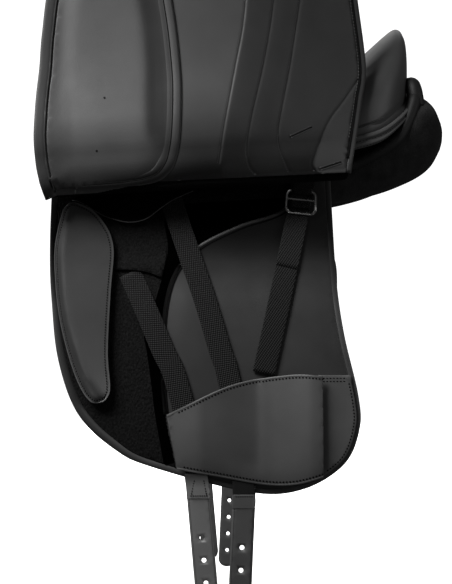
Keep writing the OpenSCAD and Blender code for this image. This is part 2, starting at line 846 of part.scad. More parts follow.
pin_head_r = 2.4;
pin_head_h = 1;
module catch_pin() {
    inner_y = bar_y + tongue_t + gap;
    outer_y = bar_y - tongue_t - 2 * gap;
    along_y(catch_x, inner_y, bar_z) cylinder(r = pin_r, h = inner_y - outer_y, $fn = round_fn);
    along_y(catch_x, inner_y + pin_head_h, bar_z)
        cylinder(r = pin_head_r, h = pin_head_h, $fn = round_fn);
    along_y(catch_x, outer_y, bar_z) cylinder(r = pin_head_r, h = pin_head_h, $fn = round_fn);
}

module catch_pins() {
    color("#b5b7b9") {
        catch_pin();
        far_side() catch_pin();
    }
}

tree();
gullet_plate();
gullet_screws();
seat_foam();
seat_cover();
seat_welt();
pommel_facing();
cantle_back();
bar_rivets();
catch_pins();
panel();  // panel_left
lifted() flap();  // flap_left
lifted() flap_pad();  // flap_pad_left
lifted() flap_binding();  // flap_binding_left
flap_root();  // flap_root_left
skirt();  // skirt_left
rear_band();  // rear_band_left
sweat_flap();  // sweat_flap_left
sweat_binding();  // sweat_binding_left
loop_patch();  // loop_patch_left
point_cover();  // point_cover_left
facing();  // facing_left
facing_bead();  // facing_bead_left
thigh_block();  // thigh_block_left
hook_pad();  // hook_pad_left
strap_front();  // strap_front_left
strap_middle();  // strap_middle_left
strap_rear();  // strap_rear_left
slide_buckle();  // slide_buckle_left
pocket();  // pocket_left
pocket_side();  // pocket_side_left
girth_point(front_fold, front_lean);  // girth_point_front_left
girth_point(middle_fold, middle_lean);  // girth_point_rear_left
stirrup_bar();  // stirrup_bar_left
bar_catch();  // bar_catch_left
far_side() panel();  // panel_right
far_side() fold_frame() flap();  // flap_right
far_side() fold_frame() flap_pad();  // flap_pad_right
far_side() fold_frame() flap_binding();  // flap_binding_right
far_side() flap_root();  // flap_root_right
far_side() skirt();  // skirt_right
far_side() rear_band();  // rear_band_right
far_side() sweat_flap();  // sweat_flap_right
far_side() sweat_binding();  // sweat_binding_right
far_side() loop_patch();  // loop_patch_right
far_side() point_cover();  // point_cover_right
far_side() facing();  // facing_right
far_side() facing_bead();  // facing_bead_right
far_side() thigh_block();  // thigh_block_right
far_side() hook_pad();  // hook_pad_right
far_side() strap_front();  // strap_front_right
far_side() strap_middle();  // strap_middle_right
far_side() strap_rear();  // strap_rear_right
far_side() slide_buckle();  // slide_buckle_right
far_side() pocket();  // pocket_right
far_side() pocket_side();  // pocket_side_right
far_side() girth_point(front_fold, front_lean);  // girth_point_front_right
far_side() girth_point(middle_fold, middle_lean);  // girth_point_rear_right
far_side() stirrup_bar();  // stirrup_bar_right
far_side() bar_catch();  // bar_catch_right
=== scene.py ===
import math

import bmesh
import bpy
import numpy as np
from mathutils import Matrix, Vector
from mathutils.geometry import delaunay_2d_cdt


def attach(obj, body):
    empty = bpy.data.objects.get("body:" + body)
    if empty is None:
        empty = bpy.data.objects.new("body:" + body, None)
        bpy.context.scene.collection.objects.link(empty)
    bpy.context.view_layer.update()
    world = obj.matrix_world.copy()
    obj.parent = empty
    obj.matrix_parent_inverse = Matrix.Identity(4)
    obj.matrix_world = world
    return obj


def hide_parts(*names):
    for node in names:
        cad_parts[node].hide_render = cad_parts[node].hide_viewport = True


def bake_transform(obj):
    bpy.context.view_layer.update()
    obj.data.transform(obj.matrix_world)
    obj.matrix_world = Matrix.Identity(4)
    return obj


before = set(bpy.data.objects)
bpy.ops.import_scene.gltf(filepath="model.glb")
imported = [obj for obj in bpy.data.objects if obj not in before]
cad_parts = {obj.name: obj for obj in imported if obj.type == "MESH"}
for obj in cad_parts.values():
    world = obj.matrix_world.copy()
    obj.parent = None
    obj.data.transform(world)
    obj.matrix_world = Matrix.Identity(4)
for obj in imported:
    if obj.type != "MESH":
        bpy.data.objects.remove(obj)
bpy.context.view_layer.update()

# Looks of a dressage saddle, built round its solids. Tables are in millimetres, in the solids' frame:
# front -X, near side -Y, up +Z. Near-side pieces are drawn in X and Z and laid on a curved surface.
MM = 0.001
NEAR, FAR = "left", "right"

# Sizes shared with the solids
BARREL_R, BARREL_Y, BARREL_DROP = 900, 685, 360
SWEAT_T, LOOP_TOP, FACING_TOP = 3.0, 4.5, 5.0
STRAP_SEAT, STRAP_TOP, STRAP_W = 7.1, 9.3, 25
COVER_SEAT, POCKET_TOP = 9.6, 13.9
BLOCK_SEAT, BLOCK_H, BLOCK_EDGE = 6.6, 28, 8
FOLD_HALF_W, FOLD_Z, FOLD_PITCH = 185, 10, 3.5
FLAP_R, FLAP_SLOPE, FLAP_HALF_T, LIFT = 600, math.radians(28), 2.5, 176
POINT_T, POINT_LEN, HOLE_R, HOLE_PITCH, HOLES = 4, 200, 2.5, 25, 6


# Lines and outlines

def spline(points, steps=4, closed=False):
    """Smooth line through the points."""
    p = np.array(points, float)
    n = len(p)
    out = []
    for i in range(n if closed else n - 1):
        if closed:
            a, b, c, d = p[i - 1], p[i], p[(i + 1) % n], p[(i + 2) % n]
        else:
            a, b, c, d = p[max(i - 1, 0)], p[i], p[i + 1], p[min(i + 2, n - 1)]
        for t in np.arange(steps) / steps:
            out.append(0.5 * (2 * b + (c - a) * t + (2 * a - 5 * b + 4 * c - d) * t * t
                              + (3 * b - a - 3 * c + d) * t ** 3))
    return np.array(out if closed else out + [p[-1]])


def lengths(line):
    """Length of a line up to each of its points."""
    return np.r_[0, np.cumsum(np.linalg.norm(np.diff(line, axis=0), axis=1))]


def at_lengths(line, t):
    s = lengths(line)
    return np.stack([np.interp(t, s, line[:, k]) for k in range(line.shape[1])], 1)


def resample(line, step, closed=False):
    """The same line with points about a step apart."""
    p = np.vstack([line, line[:1]]) if closed else np.asarray(line, float)
    whole = lengths(p)[-1]
    q = at_lengths(p, np.linspace(0, whole, max(2, round(whole / step)) + 1))
    return q[:-1] if closed else q


def evenly(line, count):
    """The same line with a number of points spread along it."""
    return at_lengths(line, np.linspace(0, lengths(line)[-1], count))


def part_of(line, start, end):
    """The line between two shares of its length."""
    count = max(3, int(len(line) * (end - start)))
    return at_lengths(line, np.linspace(start, end, count) * lengths(line)[-1])


def left_of(line, closed=False):
    """Unit directions to the left of a line."""
    t = np.roll(line, -1, 0) - np.roll(line, 1, 0) if closed else np.gradient(line, axis=0)
    n = np.stack([-t[:, 1], t[:, 0]], 1)
    return n / np.linalg.norm(n, axis=1, keepdims=True)


def moved(line, d, closed=False):
    """The line moved to its left by d, which is inwards on an outline."""
    return line + d * left_of(line, closed)


def distance(points, line, closed=False):
    """Distance of each point from a line."""
    a = line if closed else line[:-1]
    ab = (np.roll(line, -1, 0) if closed else line[1:]) - a
    best = np.full(len(points), np.inf)
    for start, step in zip(a, ab):
        ap = points - start
        t = np.clip(ap @ step / max(step @ step, 1e-12), 0, 1)
        best = np.minimum(best, np.linalg.norm(ap - t[:, None] * step, axis=1))
    return best


def inside(points, outline):
    x, z = points.T
    hit = np.zeros(len(points), bool)
    for (x0, z0), (x1, z1) in zip(outline, np.roll(outline, -1, 0)):
        if z0 != z1:
            hit ^= ((z0 > z) != (z1 > z)) & (x < (x1 - x0) * (z - z0) / (z1 - z0) + x0)
    return hit


def span_at(outline, z):
    """Lowest and highest X of an outline at each height."""
    x0, z0 = outline.T
    x1, z1 = np.roll(outline, -1, 0).T
    low, high = np.full(len(z), np.inf), np.full(len(z), -np.inf)
    for a, b, c, e in zip(x0, z0, x1, z1):
        hit = (np.minimum(b, e) <= z) & (z <= np.maximum(b, e))
        x = a + (c - a) * (z - b) / (e - b if abs(e - b) > 1e-9 else 1e-9)
        low, high = np.where(hit, np.minimum(low, x), low), np.where(hit, np.maximum(high, x), high)
    return low, high


def smooth(t):
    t = np.clip(t, 0, 1)
    return t * t * (3 - 2 * t)


def fade(v, start, end):
    """Smooth rise from 0 at start to 1 at end."""
    return smooth((v - start) / (end - start))


def bump(d, width):
    return np.exp(-(d / width) ** 2)


# Surfaces that pieces are laid on: each takes X, Z and an outward offset

def barrel(x, z, off):
    y = BARREL_Y - np.sqrt((BARREL_R + off) ** 2 - (z + BARREL_DROP) ** 2)
    return np.stack([x, y, np.broadcast_to(z, x.shape)], -1)


def turn(degrees, axis):
    return np.array(Matrix.Rotation(math.radians(degrees), 3, axis))


def flap_surface(lift, inner=1):
    """The flap's middle, hanging at lift 0. Its inner face has negative offsets, or positive ones if
    inner is -1."""
    m = turn(-FOLD_PITCH, "Y") @ turn(-lift, "X")
    middle = FLAP_R * math.cos(FLAP_SLOPE)

    def surface(x, z, off):
        r = FLAP_R + inner * np.asarray(off, float)
        y = middle - np.sqrt(r ** 2 - (z + FLAP_R * math.sin(FLAP_SLOPE)) ** 2)
        p = np.stack([x, y, np.broadcast_to(z, x.shape)], -1)
        return p @ m.T + (0, -FOLD_HALF_W, FOLD_Z)
    return surface


def point_surface(at, lean):
    """The flat middle of a girth point that hangs from its fold."""
    m = turn(lean, "Y")
    origin = barrel(np.array(at[0], float), at[1], STRAP_SEAT + POINT_T / 2)

    def surface(x, z, off):
        p = np.stack([x, np.broadcast_to(-np.asarray(off, float), x.shape), z], -1)
        return p @ m.T + origin
    return surface


# Meshes: each is a list of points, a list of faces and flat coordinates for its weave

EDGE_STEP, LINE_STEP, HOLE_SIDES = 4.0, 3.0, 20
RIM_ROWS = (0.1, 0.35, 1)
CLEAR_OF_RIM, SAME_POINT, ON_RIM = 0.09, 0.35, 0.05
THREAD_UP, BLOCK_THREAD_UP, POCKET_THREAD_UP = 0.1, 0.35, 0.2


def value(f, points, d):
    return f(points, d) if callable(f) else np.full(len(points), float(f))


def sheet(outline, back, front, surface, rim=1.2, step=7.0, lip=0.5, lines=(), holes=()):
    """Closed sheet with a rounded rim between two offsets. lines get finer points."""
    edge = resample(outline, min(step, EDGE_STEP), True)
    rims = [edge] + list(holes)
    rows = [edge] + [moved(edge, rim * k, True) for k in RIM_ROWS]
    start = sum(len(row) for row in rows)
    for hole in holes:
        rows += [hole, moved(hole, rim, True)]
    for line, offsets in lines:
        rows += [moved(resample(line, LINE_STEP), o) for o in offsets]
    lo, hi = edge.min(0), edge.max(0)
    gx, gz = np.meshgrid(np.arange(lo[0], hi[0], step), np.arange(lo[1], hi[1], step))
    gx = gx + (np.arange(gx.shape[0]) % 2)[:, None] * step / 2
    points = np.vstack(rows + [np.stack([gx.ravel(), gz.ravel()], 1)])
    fixed = np.zeros(len(points), bool)
    fixed[:len(edge)] = True
    free = inside(points, edge)
    for hole in holes:
        fixed[start:start + len(hole)] = True
        start += 2 * len(hole)
        free &= ~inside(points, hole)
    clear = np.min([distance(points, r, True) for r in rims], 0) > CLEAR_OF_RIM * rim
    keep = fixed | (free & clear)
    points, fixed = points[keep], fixed[keep]
    points = points[np.argsort(~fixed, kind="stable")]
    _, first = np.unique(np.round(points / SAME_POINT), axis=0, return_index=True)
    points = points[np.sort(first)]
    count = len(edge)
    pairs = [(i, (i + 1) % count) for i in range(count)]
    made = delaunay_2d_cdt([Vector(p) for p in points], pairs, [], 0, 1e-5)
    flat = np.array([tuple(v) for v in made[0]])
    tris = np.array(made[2])
    mid = flat[tris].mean(1)
    good = inside(mid, edge)
    for hole in holes:
        good &= ~inside(mid, hole)
    tris = tris[good]
    d = np.min([distance(flat, r, True) for r in rims], 0)
    d[d < ON_RIM] = 0
    curve = np.sqrt(1 - (1 - np.clip(d / rim, 0, 1)) ** 2)
    low, high = value(back, flat, d), value(front, flat, d)
    seam = low + (high - low) * lip
    top = surface(flat[:, 0], flat[:, 1], seam + (high - seam) * curve)
    bottom = surface(flat[:, 0], flat[:, 1], seam + (low - seam) * curve)
    under = np.where(d == 0, np.arange(len(flat)), np.cumsum(d > 0) - 1 + len(flat))
    verts = np.vstack([top, bottom[d > 0]])
    faces = tris.tolist() + under[tris][:, ::-1].tolist()
    return verts, faces, np.vstack([flat, flat[d > 0]])


def sweep(line, section, surface, base=0.0, closed=False, scale=1.0):
    """Bar along a line on a surface, with a section in (across, up)."""
    line = np.asarray(line, float)
    n = left_of(line, closed)
    size = np.broadcast_to(np.asarray(scale, float), (len(line),))
    loops, flat = [], []
    for across, up in section:
        q = line + n * (across * size)[:, None]
        loops.append(surface(q[:, 0], q[:, 1], base + up * size))
        flat.append(np.stack([np.full(len(line), across), lengths(line)], 1))
    return tube(np.stack(loops, 1), closed, np.stack(flat, 1))


def tube(rings, closed=False, flat=None):
    """Skin over a row of rings with the same number of points."""
    m, k = rings.shape[:2]
    faces = []
    for i in range(m if closed else m - 1):
        for j in range(k):
            a, b = i * k + j, i * k + (j + 1) % k
            c, e = (b + k) % (m * k), (a + k) % (m * k)
            faces.append((a, b, c, e))
    if not closed:
        faces += [tuple(range(k))[::-1], tuple(range((m - 1) * k, m * k))]
    flat = np.zeros((m, k, 2)) if flat is None else flat
    return rings.reshape(-1, 3), faces, flat.reshape(-1, 2)


def circle(sides):
    a = np.linspace(0, 2 * math.pi, sides, endpoint=False)
    return np.cos(a), np.sin(a)


def rope(path, radius, sides=10):
    """Round tube along a path in space."""
    path = np.asarray(path, float)
    t = np.gradient(path, axis=0)
    t /= np.linalg.norm(t, axis=1, keepdims=True)
    u = np.cross(t, (0, 0, 1.0))
    u /= np.linalg.norm(u, axis=1, keepdims=True)
    v = np.cross(u, t)
    c, s = (k[None, :, None] for k in circle(sides))
    return tube(path[:, None] + radius * (c * u[:, None] + s * v[:, None]))


def oval(half_w, half_t, count=14, power=1.0):
    return [(half_w * np.sign(x) * abs(x) ** power, half_t * np.sign(y) * abs(y) ** power)
            for x, y in zip(*circle(count))]


def shell(grid, thick):
    """Closed skin of a thickness over a grid of points, inwards from its normals."""
    m, k = grid.shape[:2]
    n = np.cross(np.gradient(grid, axis=0), np.gradient(grid, axis=1))
    n /= np.maximum(np.linalg.norm(n, axis=2, keepdims=True), 1e-9)
    verts = np.vstack([grid.reshape(-1, 3), (grid + n * thick).reshape(-1, 3)])
    faces = []
    for i in range(m - 1):
        for j in range(k - 1):
            a, b, c, e = i * k + j, i * k + j + 1, (i + 1) * k + j + 1, (i + 1) * k + j
            faces += [(a, b, c, e), (e + m * k, c + m * k, b + m * k, a + m * k)]
    rim = ([(i, 0) for i in range(m)] + [(m - 1, j) for j in range(1, k)]
           + [(i, k - 1) for i in range(m - 2, -1, -1)] + [(0, j) for j in range(k - 2, 0, -1)])
    ids = [i * k + j for i, j in rim]
    for a, b in zip(ids, ids[1:] + ids[:1]):
        faces.append((a, b, b + m * k, a + m * k))
    return verts, faces, np.zeros((len(verts), 2))


STITCH = np.array([(1, 0, 0), (0, 1, 0), (0, 0, 1), (0, -1, 0), (0, 0, -1), (-1, 0, 0)], float)
STITCH_FACES = [(0, 1, 2), (0, 2, 3), (0, 3, 4), (0, 4, 1), (5, 2, 1), (5, 3, 2), (5, 4, 3), (5, 1, 4)]


def stitched(at, axes):
    """Pointed stitches with their half sizes along three axes."""
    verts = at[:, None] + np.einsum("kj,njc->nkc", STITCH, axes)
    faces = [tuple(6 * i + k for k in f) for i in range(len(at)) for f in STITCH_FACES]
    return verts.reshape(-1, 3), faces, np.zeros((6 * len(at), 2))


def stitches(line, surface, base, pitch=3.6, length=2.8, width=1.5, height=1.0, closed=False):
    """Row of stitches along a line on a surface."""
    marks = resample(line, pitch, closed)
    base = base(marks) if callable(base) else np.full(len(marks), float(base))
    left = left_of(marks, closed)
    ahead = np.stack([left[:, 1], -left[:, 0]], 1)
    at = surface(marks[:, 0], marks[:, 1], base)
    tip = surface(*(marks + ahead * length / 2).T, base)
    side = surface(*(marks + left * width / 2).T, base)
    top = surface(marks[:, 0], marks[:, 1], base + height / 2)
    return stitched(at, np.stack([tip - at, side - at, top - at], 1))


def dashes(path, pitch=4.0, length=2.6, radius=0.5):
    """Stitches along a line in space."""
    marks = resample(path, pitch)
    ahead = np.gradient(marks, axis=0)
    ahead /= np.linalg.norm(ahead, axis=1, keepdims=True)
    across = np.cross(ahead, (0, 0, 1.0))
    across /= np.linalg.norm(across, axis=1, keepdims=True)
    up = np.cross(across, ahead)
    return stitched(marks, np.stack([ahead * length / 2, across * radius, up * radius], 1))


def joined(*parts):
    verts, faces, flat, n = [], [], [], 0
    for v, f, uv in parts:
        verts.append(v)
        faces += [tuple(i + n for i in face) for face in f]
        flat.append(uv)
        n += len(v)
    return np.vstack(verts), faces, np.vstack(flat)


# Materials: texture scales are per metre, and bump depths in metres

class Look:
    """A material while its nodes are joined up."""

    def __init__(self, name):
        self.mat = bpy.data.materials.new(name)
        self.mat.use_nodes = True
        self.tree = self.mat.node_tree

    def fill(self, inputs, values):
        """Link or set inputs by their names or numbers."""
        for key, v in values.items():
            if isinstance(v, bpy.types.NodeSocket):
                self.tree.links.new(v, inputs[key])
            else:
                inputs[key].default_value = v

    def finish(self, **values):
        """The material, with its surface's inputs by their names."""
        inputs = self.tree.nodes["Principled BSDF"].inputs
        self.fill(inputs, {key.replace("_", " "): v for key, v in values.items()})
        return self.mat

    def output(self, kind, out, values=(), **setup):
        """An output of a new node."""
        n = self.tree.nodes.new("ShaderNode" + kind)
        for key, v in setup.items():
            setattr(n, key, v)
        self.fill(n.inputs, dict(values))
        return n.outputs[out]

    def place(self):
        return self.output("TexCoord", "Object")

    def math(self, operation, *values):
        return self.output("Math", 0, enumerate(values), operation=operation)

    def noise(self, where, scale, detail, **more):
        return self.output("TexNoise", "Fac", {"Vector": where, "Scale": scale, "Detail": detail, **more})

    def cells(self, where, scale, feature="F1"):
        return self.output("TexVoronoi", "Distance", {"Vector": where, "Scale": scale}, feature=feature)

    def spread(self, source, low, high, start=0.0, end=1.0):
        """A value moved from one range to another."""
        return self.output("MapRange", "Result", {"Value": source, "From Min": start, "From Max": end,
                                                  "To Min": low, "To Max": high})

    def tone(self, source, dark, light, low=0.35, high=0.65):
        """Colour between two shades, led by a texture's value."""
        ramp = self.tree.nodes.new("ShaderNodeValToRGB")
        ends = ramp.color_ramp.elements
        ends[0].position, ends[1].position = low, high
        ends[0].color, ends[1].color = (*dark, 1), (*light, 1)
        self.tree.links.new(source, ramp.inputs["Fac"])
        return ramp.outputs["Color"]

    def relief(self, depth, strength, *heights):
        """Bump from the sum of weighted heights."""
        total = 0.0
        for source, weight in heights:
            total = self.math("MULTIPLY_ADD", source, weight, total)
        return self.output("Bump", "Normal", {"Height": total, "Strength": strength, "Distance": depth})


def grey(level, warm=0.0):
    return (level * (1 + warm), level, level * (1 - warm))


GLOSS_SPREAD, WORN_EDGE, RUBBED = 0.07, (0.53, 0.62), 2.4


def leather(name, dark, light, rough, cell=0.0011, strength=0.35, worn=0.5, shine=0.5):
    """Fine-grained leather: pebbled cells, cloudy tone, uneven gloss and paler worn edges."""
    look = Look(name)
    where = look.place()
    cloud, fine, soft = (look.noise(where, *size) for size in ((14, 5), (900, 3), (46, 4)))
    grain = look.cells(where, 1 / cell, "DISTANCE_TO_EDGE")
    wear = look.spread(look.output("NewGeometry", "Pointiness"), 0, worn, *WORN_EDGE)
    rubbed = (*[c * RUBBED for c in grey(light)], 1)
    share, plain, paler, colour = 0, 6, 7, 2
    base = look.output("Mix", colour, {share: wear, plain: look.tone(cloud, grey(dark), grey(light)),
                                       paler: rubbed}, data_type="RGBA")
    return look.finish(Base_Color=base, Specular_IOR_Level=shine,
                       Roughness=look.spread(soft, rough - GLOSS_SPREAD, rough + GLOSS_SPREAD),
                       Normal=look.relief(0.0004, strength, (grain, 0.6), (fine, 0.5), (soft, 0.8)))


def cloth(name, dark, light, pile, strength, sheen, stretch=(1, 1, 1)):
    """Matt brushed cloth: short pile with a soft sheen at grazing light."""
    look = Look(name)
    where = look.output("Mapping", "Vector", {"Vector": look.place(), "Scale": stretch})
    hair, cloud = look.noise(where, 1 / pile, 6, Roughness=0.7), look.noise(where, 60, 4)
    knots = look.cells(where, 0.55 / pile)
    shade = look.tone(look.math("MULTIPLY", hair, cloud), grey(dark), grey(light), 0.14, 0.36)
    return look.finish(Base_Color=shade, Roughness=0.95, Specular_IOR_Level=0.15, Sheen_Weight=sheen,
                       Sheen_Roughness=0.6, Normal=look.relief(0.0008, strength, (hair, 1.0), (knots, 0.7)))


TWILL_SKEW, TWILL_PITCH = -0.5, 0.0023
YARN_SKEW, YARN_PITCH, WEAVE_SHARE = 0.4, 0.0026, 0.3


def webbing(name, dark, light):
    """Ribbed strap weave: slanted twill ribs crossed by yarns, over a strap's flat coordinates."""
    look = Look(name)
    flat = look.output("UVMap", "UV", uv_map="flat")
    across, along = (look.output("SeparateXYZ", k, {"Vector": flat}) for k in "XY")

    def ribs(a, b, skew, pitch):
        k = 2 * math.pi / pitch
        return look.math("SINE", look.math("MULTIPLY_ADD", b, k, look.math("MULTIPLY", a, skew * k)))
    twill = ribs(across, along, TWILL_SKEW, TWILL_PITCH)
    yarn = ribs(along, across, YARN_SKEW, YARN_PITCH)
    fuzz = look.noise(look.place(), 700, 4)
    shade = look.math("MULTIPLY_ADD", look.math("ADD", twill, yarn), WEAVE_SHARE, fuzz)
    return look.finish(Base_Color=look.tone(shade, grey(dark), grey(light), 0.2, 0.95), Roughness=0.72,
                       Specular_IOR_Level=0.25, Sheen_Weight=0.03,
                       Normal=look.relief(0.0006, 0.9, (twill, 0.5), (yarn, 0.4), (fuzz, 0.3)))


METAL_DULL, METAL_SPREAD = 0.8, 0.18


def metal(name, colour, rough):
    """Plated metal with faint polishing marks."""
    look = Look(name)
    where = look.place()
    marks, haze = look.noise(where, 240, 6), look.noise(where, 40, 3)
    return look.finish(Base_Color=look.tone(haze, [c * METAL_DULL for c in colour], colour), Metallic=1,
                       Roughness=look.spread(marks, rough, rough + METAL_SPREAD),
                       Normal=look.relief(0.0002, 0.08, (marks, 1.0)))


# Dark and light grey, roughness, and what differs from plain leather
LEATHERS = {
    "flap_leather": (0.034, 0.044, 0.56),
    "seat_leather": (0.044, 0.058, 0.47),
    "facing_leather": (0.018, 0.025, 0.50),
    "pocket_leather": (0.047, 0.062, 0.50),
    "block_leather": (0.024, 0.032, 0.55),
    "point_leather": (0.066, 0.084, 0.50, {"cell": 0.0014}),
    "edge_leather": (0.040, 0.052, 0.46),
    "binding": (0.005, 0.008, 0.42, {"cell": 0.0009}),
    # Near black: painted shade, for the roll's underside and the point cover under the lifted flap
    "painted_shade_leather": (0.0006, 0.0012, 0.9, {"cell": 0.0009, "strength": 0.2, "worn": 0, "shine": 0.05}),
    "rim_leather": (0.004, 0.007, 0.6, {"strength": 0.3, "worn": 0.2, "shine": 0.3}),
    "thread": (0.0004, 0.001, 0.8, {"cell": 0.0004, "strength": 0.3, "worn": 0, "shine": 0.1}),
    # Black and matt: the base fabric's own black, made darker as painted shade of the gap between the loop
    # cloth and the facing
    "shaded_slot_cloth": (0.0002, 0.0005, 0.95, {"cell": 0.0012, "strength": 0.2, "worn": 0, "shine": 0}),
    "tree_plastic": (0.010, 0.016, 0.55, {"cell": 0.0016, "strength": 0.25}),
}
M = {name: leather(name, *plain[:3], **dict(*plain[3:])) for name, plain in LEATHERS.items()}
M["panel_suede"] = cloth("panel_suede", 0.009, 0.024, 0.0009, 0.5, 0.03)
M["base_fabric"] = cloth("base_fabric", 0.001, 0.004, 0.0008, 0.4, 0.02)
M["loop_fabric"] = cloth("loop_fabric", 0.0001, 0.009, 0.0126, 1.0, 0.0, (9, 9, 7))
M["foam"] = cloth("foam", 0.05, 0.09, 0.0014, 0.5, 0.05)
M["webbing"] = webbing("webbing", 0.0001, 0.010)
M["steel"] = metal("steel", grey(0.52), 0.28)
# Dark grey for a silver buckle: painted shade, as it lies in the lifted flap's shade
M["buckle_metal"] = metal("buckle_metal", grey(0.24, 0.01), 0.2)


# Placing pieces

def add(name, data, side, material, body="saddle", nodes=(), slot=None, lean=None, bend=None):
    """One piece on one side, or on the centreline if side is None. The far side is the near side's
    mirror. lean changes the near side's normals, so that a nearly flat face shades as a soft one.
    A piece given a bend stays where it is, on no body; the bend's start and end are not used."""
    places, faces, flat = data
    end, scale = "_" + side if side else "", np.array((MM, -MM if side == FAR else MM, MM))
    mesh = bpy.data.meshes.new(name)
    mesh.from_pydata((places * scale).tolist(), [], [tuple(f) for f in faces])
    layer = mesh.uv_layers.new(name="flat")
    corners = np.zeros(len(mesh.loops), int)
    mesh.loops.foreach_get("vertex_index", corners)
    layer.data.foreach_set("uv", (flat * MM)[corners].astype(np.float32).ravel())
    bm = bmesh.new()
    bm.from_mesh(mesh)
    bmesh.ops.recalc_face_normals(bm, faces=bm.faces)
    bm.to_mesh(mesh)
    bm.free()
    mesh.polygons.foreach_set("use_smooth", [True] * len(mesh.polygons))
    if lean and side == NEAR:
        normals = np.zeros(3 * len(places), np.float32)
        mesh.vertex_normals.foreach_get("vector", normals)
        mesh.normals_split_custom_set_from_vertices(lean(places, normals.reshape(-1, 3)))
    mesh.materials.append(M[material])
    piece = bpy.data.objects.new(name + end, mesh)
    bpy.context.scene.collection.objects.link(piece)
    if bend:
        [tuple(at * scale) for at in bend]
        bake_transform(piece)
    else:
        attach(piece, body if body == "saddle" else body + end)
    slot or material
    for n in nodes:
        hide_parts(n + end)
    return piece


def trim(name, parts, *where, **how):
    """One piece joined from several parts."""
    return add(name, joined(*parts), *where, **how)


# Normals of the near side

SHADE = np.array([0.75, -0.5, -0.43])
GLINT = np.array([-0.345, -0.82, 0.45])


def table(rows, v):
    """Value from a table of two columns."""
    return np.interp(v, *np.transpose(rows))


def outer(normals, rate=2):
    """1 on a face that looks out from the near side, 0 on an edge."""
    return smooth(-normals[:, 1] * rate)


def leaned(n, down, right):
    """Normals turned down and to the right, in degrees."""
    a, b = np.radians(down), np.radians(right)
    y, z = n[:, 1] * np.cos(a) - n[:, 2] * np.sin(a), n[:, 1] * np.sin(a) + n[:, 2] * np.cos(a)
    return np.stack([n[:, 0] * np.cos(b) - y * np.sin(b), n[:, 0] * np.sin(b) + y * np.cos(b), z], 1)


def mixed(normals, other, share):
    """Normals turned towards other ones, by a share."""
    return normals * (1 - share[:, None]) + other * share[:, None]


def shaded(normals, share):
    return mixed(normals, SHADE, share)


# The sweat flap and what lies on it

TOP_Z = 30
SWEAT = spline([(-177, TOP_Z), (-176, -60), (-172, -120), (-162, -185), (-140, -243), (-100, -282),
                (-60, -302), (47, -330), (105, -327), (150, -300), (167, -262), (166, -225),
                (152, -160), (145, -100), (143, -20), (143, TOP_Z + 6)], 8)
FACING = spline([(98, TOP_Z), (91, -16), (36, -38), (-8, -60), (-35, -88), (-48, -132), (-50, -200),
                 (-47, -245), (-39, -285), (-35, -303)], 8)
COVER_EDGE = spline([(-156, -9), (-145, -11), (-131, -19), (-117, -27), (-102, -32), (-88, -34.7),
                     (-77, -33.6), (-66, -29.6), (-55, -21), (-43, -12), (-32, -6), (-15, 1.5)], 4)
COVER_TOP = [(-15, 14), (-60, 16), (-156, 6)]
SLOT_CLOTH_EDGE = spline([(-47, -300), (-51.5, -275), (-57, -244), (-61.5, -209), (-66, -178), (-69, -154),
                      (-57, -121), (-50.4, -99), (-47, -86), (-44, -68), (-44, -55), (-48, -35),
                      (-44, -14)], 5)
TONGUE_EDGE = spline([(-108, -88), (-84, -88.5), (-66, -91), (-50, -97)], 6)
TONGUE_TOP = [(-46, -80), (-44, -56), (-48, -34), (-60, -22), (-108, -22)]
BASE_IN, LOOP_IN, FACING_IN, EDGE_IN = 3, 7, 6, 3.5
COVER_LOW, TONGUE_BASE, TONGUE_RISE = LOOP_TOP + 0.1, LOOP_TOP + 0.3, 3.0
EDGE_MORE, BEAD_LOW_Z, BEAD_IN, GROOVE_IN = 0.35, -246, 1.6, 4.6
POINT_COVER_T, FACING_SWELL, FACING_SWELL_W, FACING_WAVES = 1.6, 1.2, 26, (37, 61)
LOW_BEAD = [(-2.2, 0), (-1.5, 1.0), (-0.4, 1.4), (0.8, 1.2), (1.7, 0.7), (2.2, 0), (1, -0.4), (-1, -0.4)]

# Turns and shares of shade, each beside the X or Z it belongs to
FACING_DOWN = [(-115, 0), (-99, 5), (-81, 16), (-64, 36), (-46, 52), (-20, 58)]
FACING_RIM = [(-20, 1), (0, 0)]
EDGE_DOWN, EDGE_RIGHT = [(-130, 0), (-60, 45), (-30, 75)], [(-110, 25), (-60, 0)]
BEAD_SHADE = [(-30, 0.9), (-4, 0)]


def behind_facing(d):
    """The sweat flap's outline behind the facing's edge."""
    rim = moved(SWEAT, d)
    first = np.argmin(np.linalg.norm(rim - FACING[-1], axis=1))
    return np.vstack([rim[first:], FACING])


def loop_lean(places, normals):
    """The cloth goes dark in front of the block under the fold."""
    return shaded(normals, fade(places[:, 0], -148, -156) * fade(places[:, 2], -90, -50))


def edge_lean(places, normals):
    """The bound edge goes dark under the fold."""
    return leaned(normals, table(EDGE_DOWN, places[:, 2]), table(EDGE_RIGHT, places[:, 0]))


def bead_lean(places, normals):
    """The bead is lit along the facing's top and dark down its front."""
    return shaded(normals, table(BEAD_SHADE, places[:, 0]))


def facing_lean(places, normals):
    """The facing rolls back under the fold at its top."""
    rim = fade(normals[:, 0], -0.1, -0.4) * table(FACING_RIM, places[:, 0])
    return leaned(shaded(normals, rim), outer(normals) * table(FACING_DOWN, places[:, 2]), 0)


def facing_front(p, d):
    """A soft, slightly wavy swell on the facing."""
    waves = np.sin(p[:, 0] / FACING_WAVES[0]) * np.sin(p[:, 1] / FACING_WAVES[1])
    return FACING_TOP + FACING_SWELL * smooth(d / FACING_SWELL_W) * (0.6 + 0.4 * waves)


def cover_seat(p, d=None):
    """The point's cover climbs from the loop cloth on to the middle strap."""
    return COVER_LOW + (COVER_SEAT - COVER_LOW) * fade(p[:, 0], -118, -96)


def tongue_front(p, d):
    """Cloth that opens over the front strap's upper end."""
    return TONGUE_BASE + TONGUE_RISE * fade(p[:, 1], -66, -86)


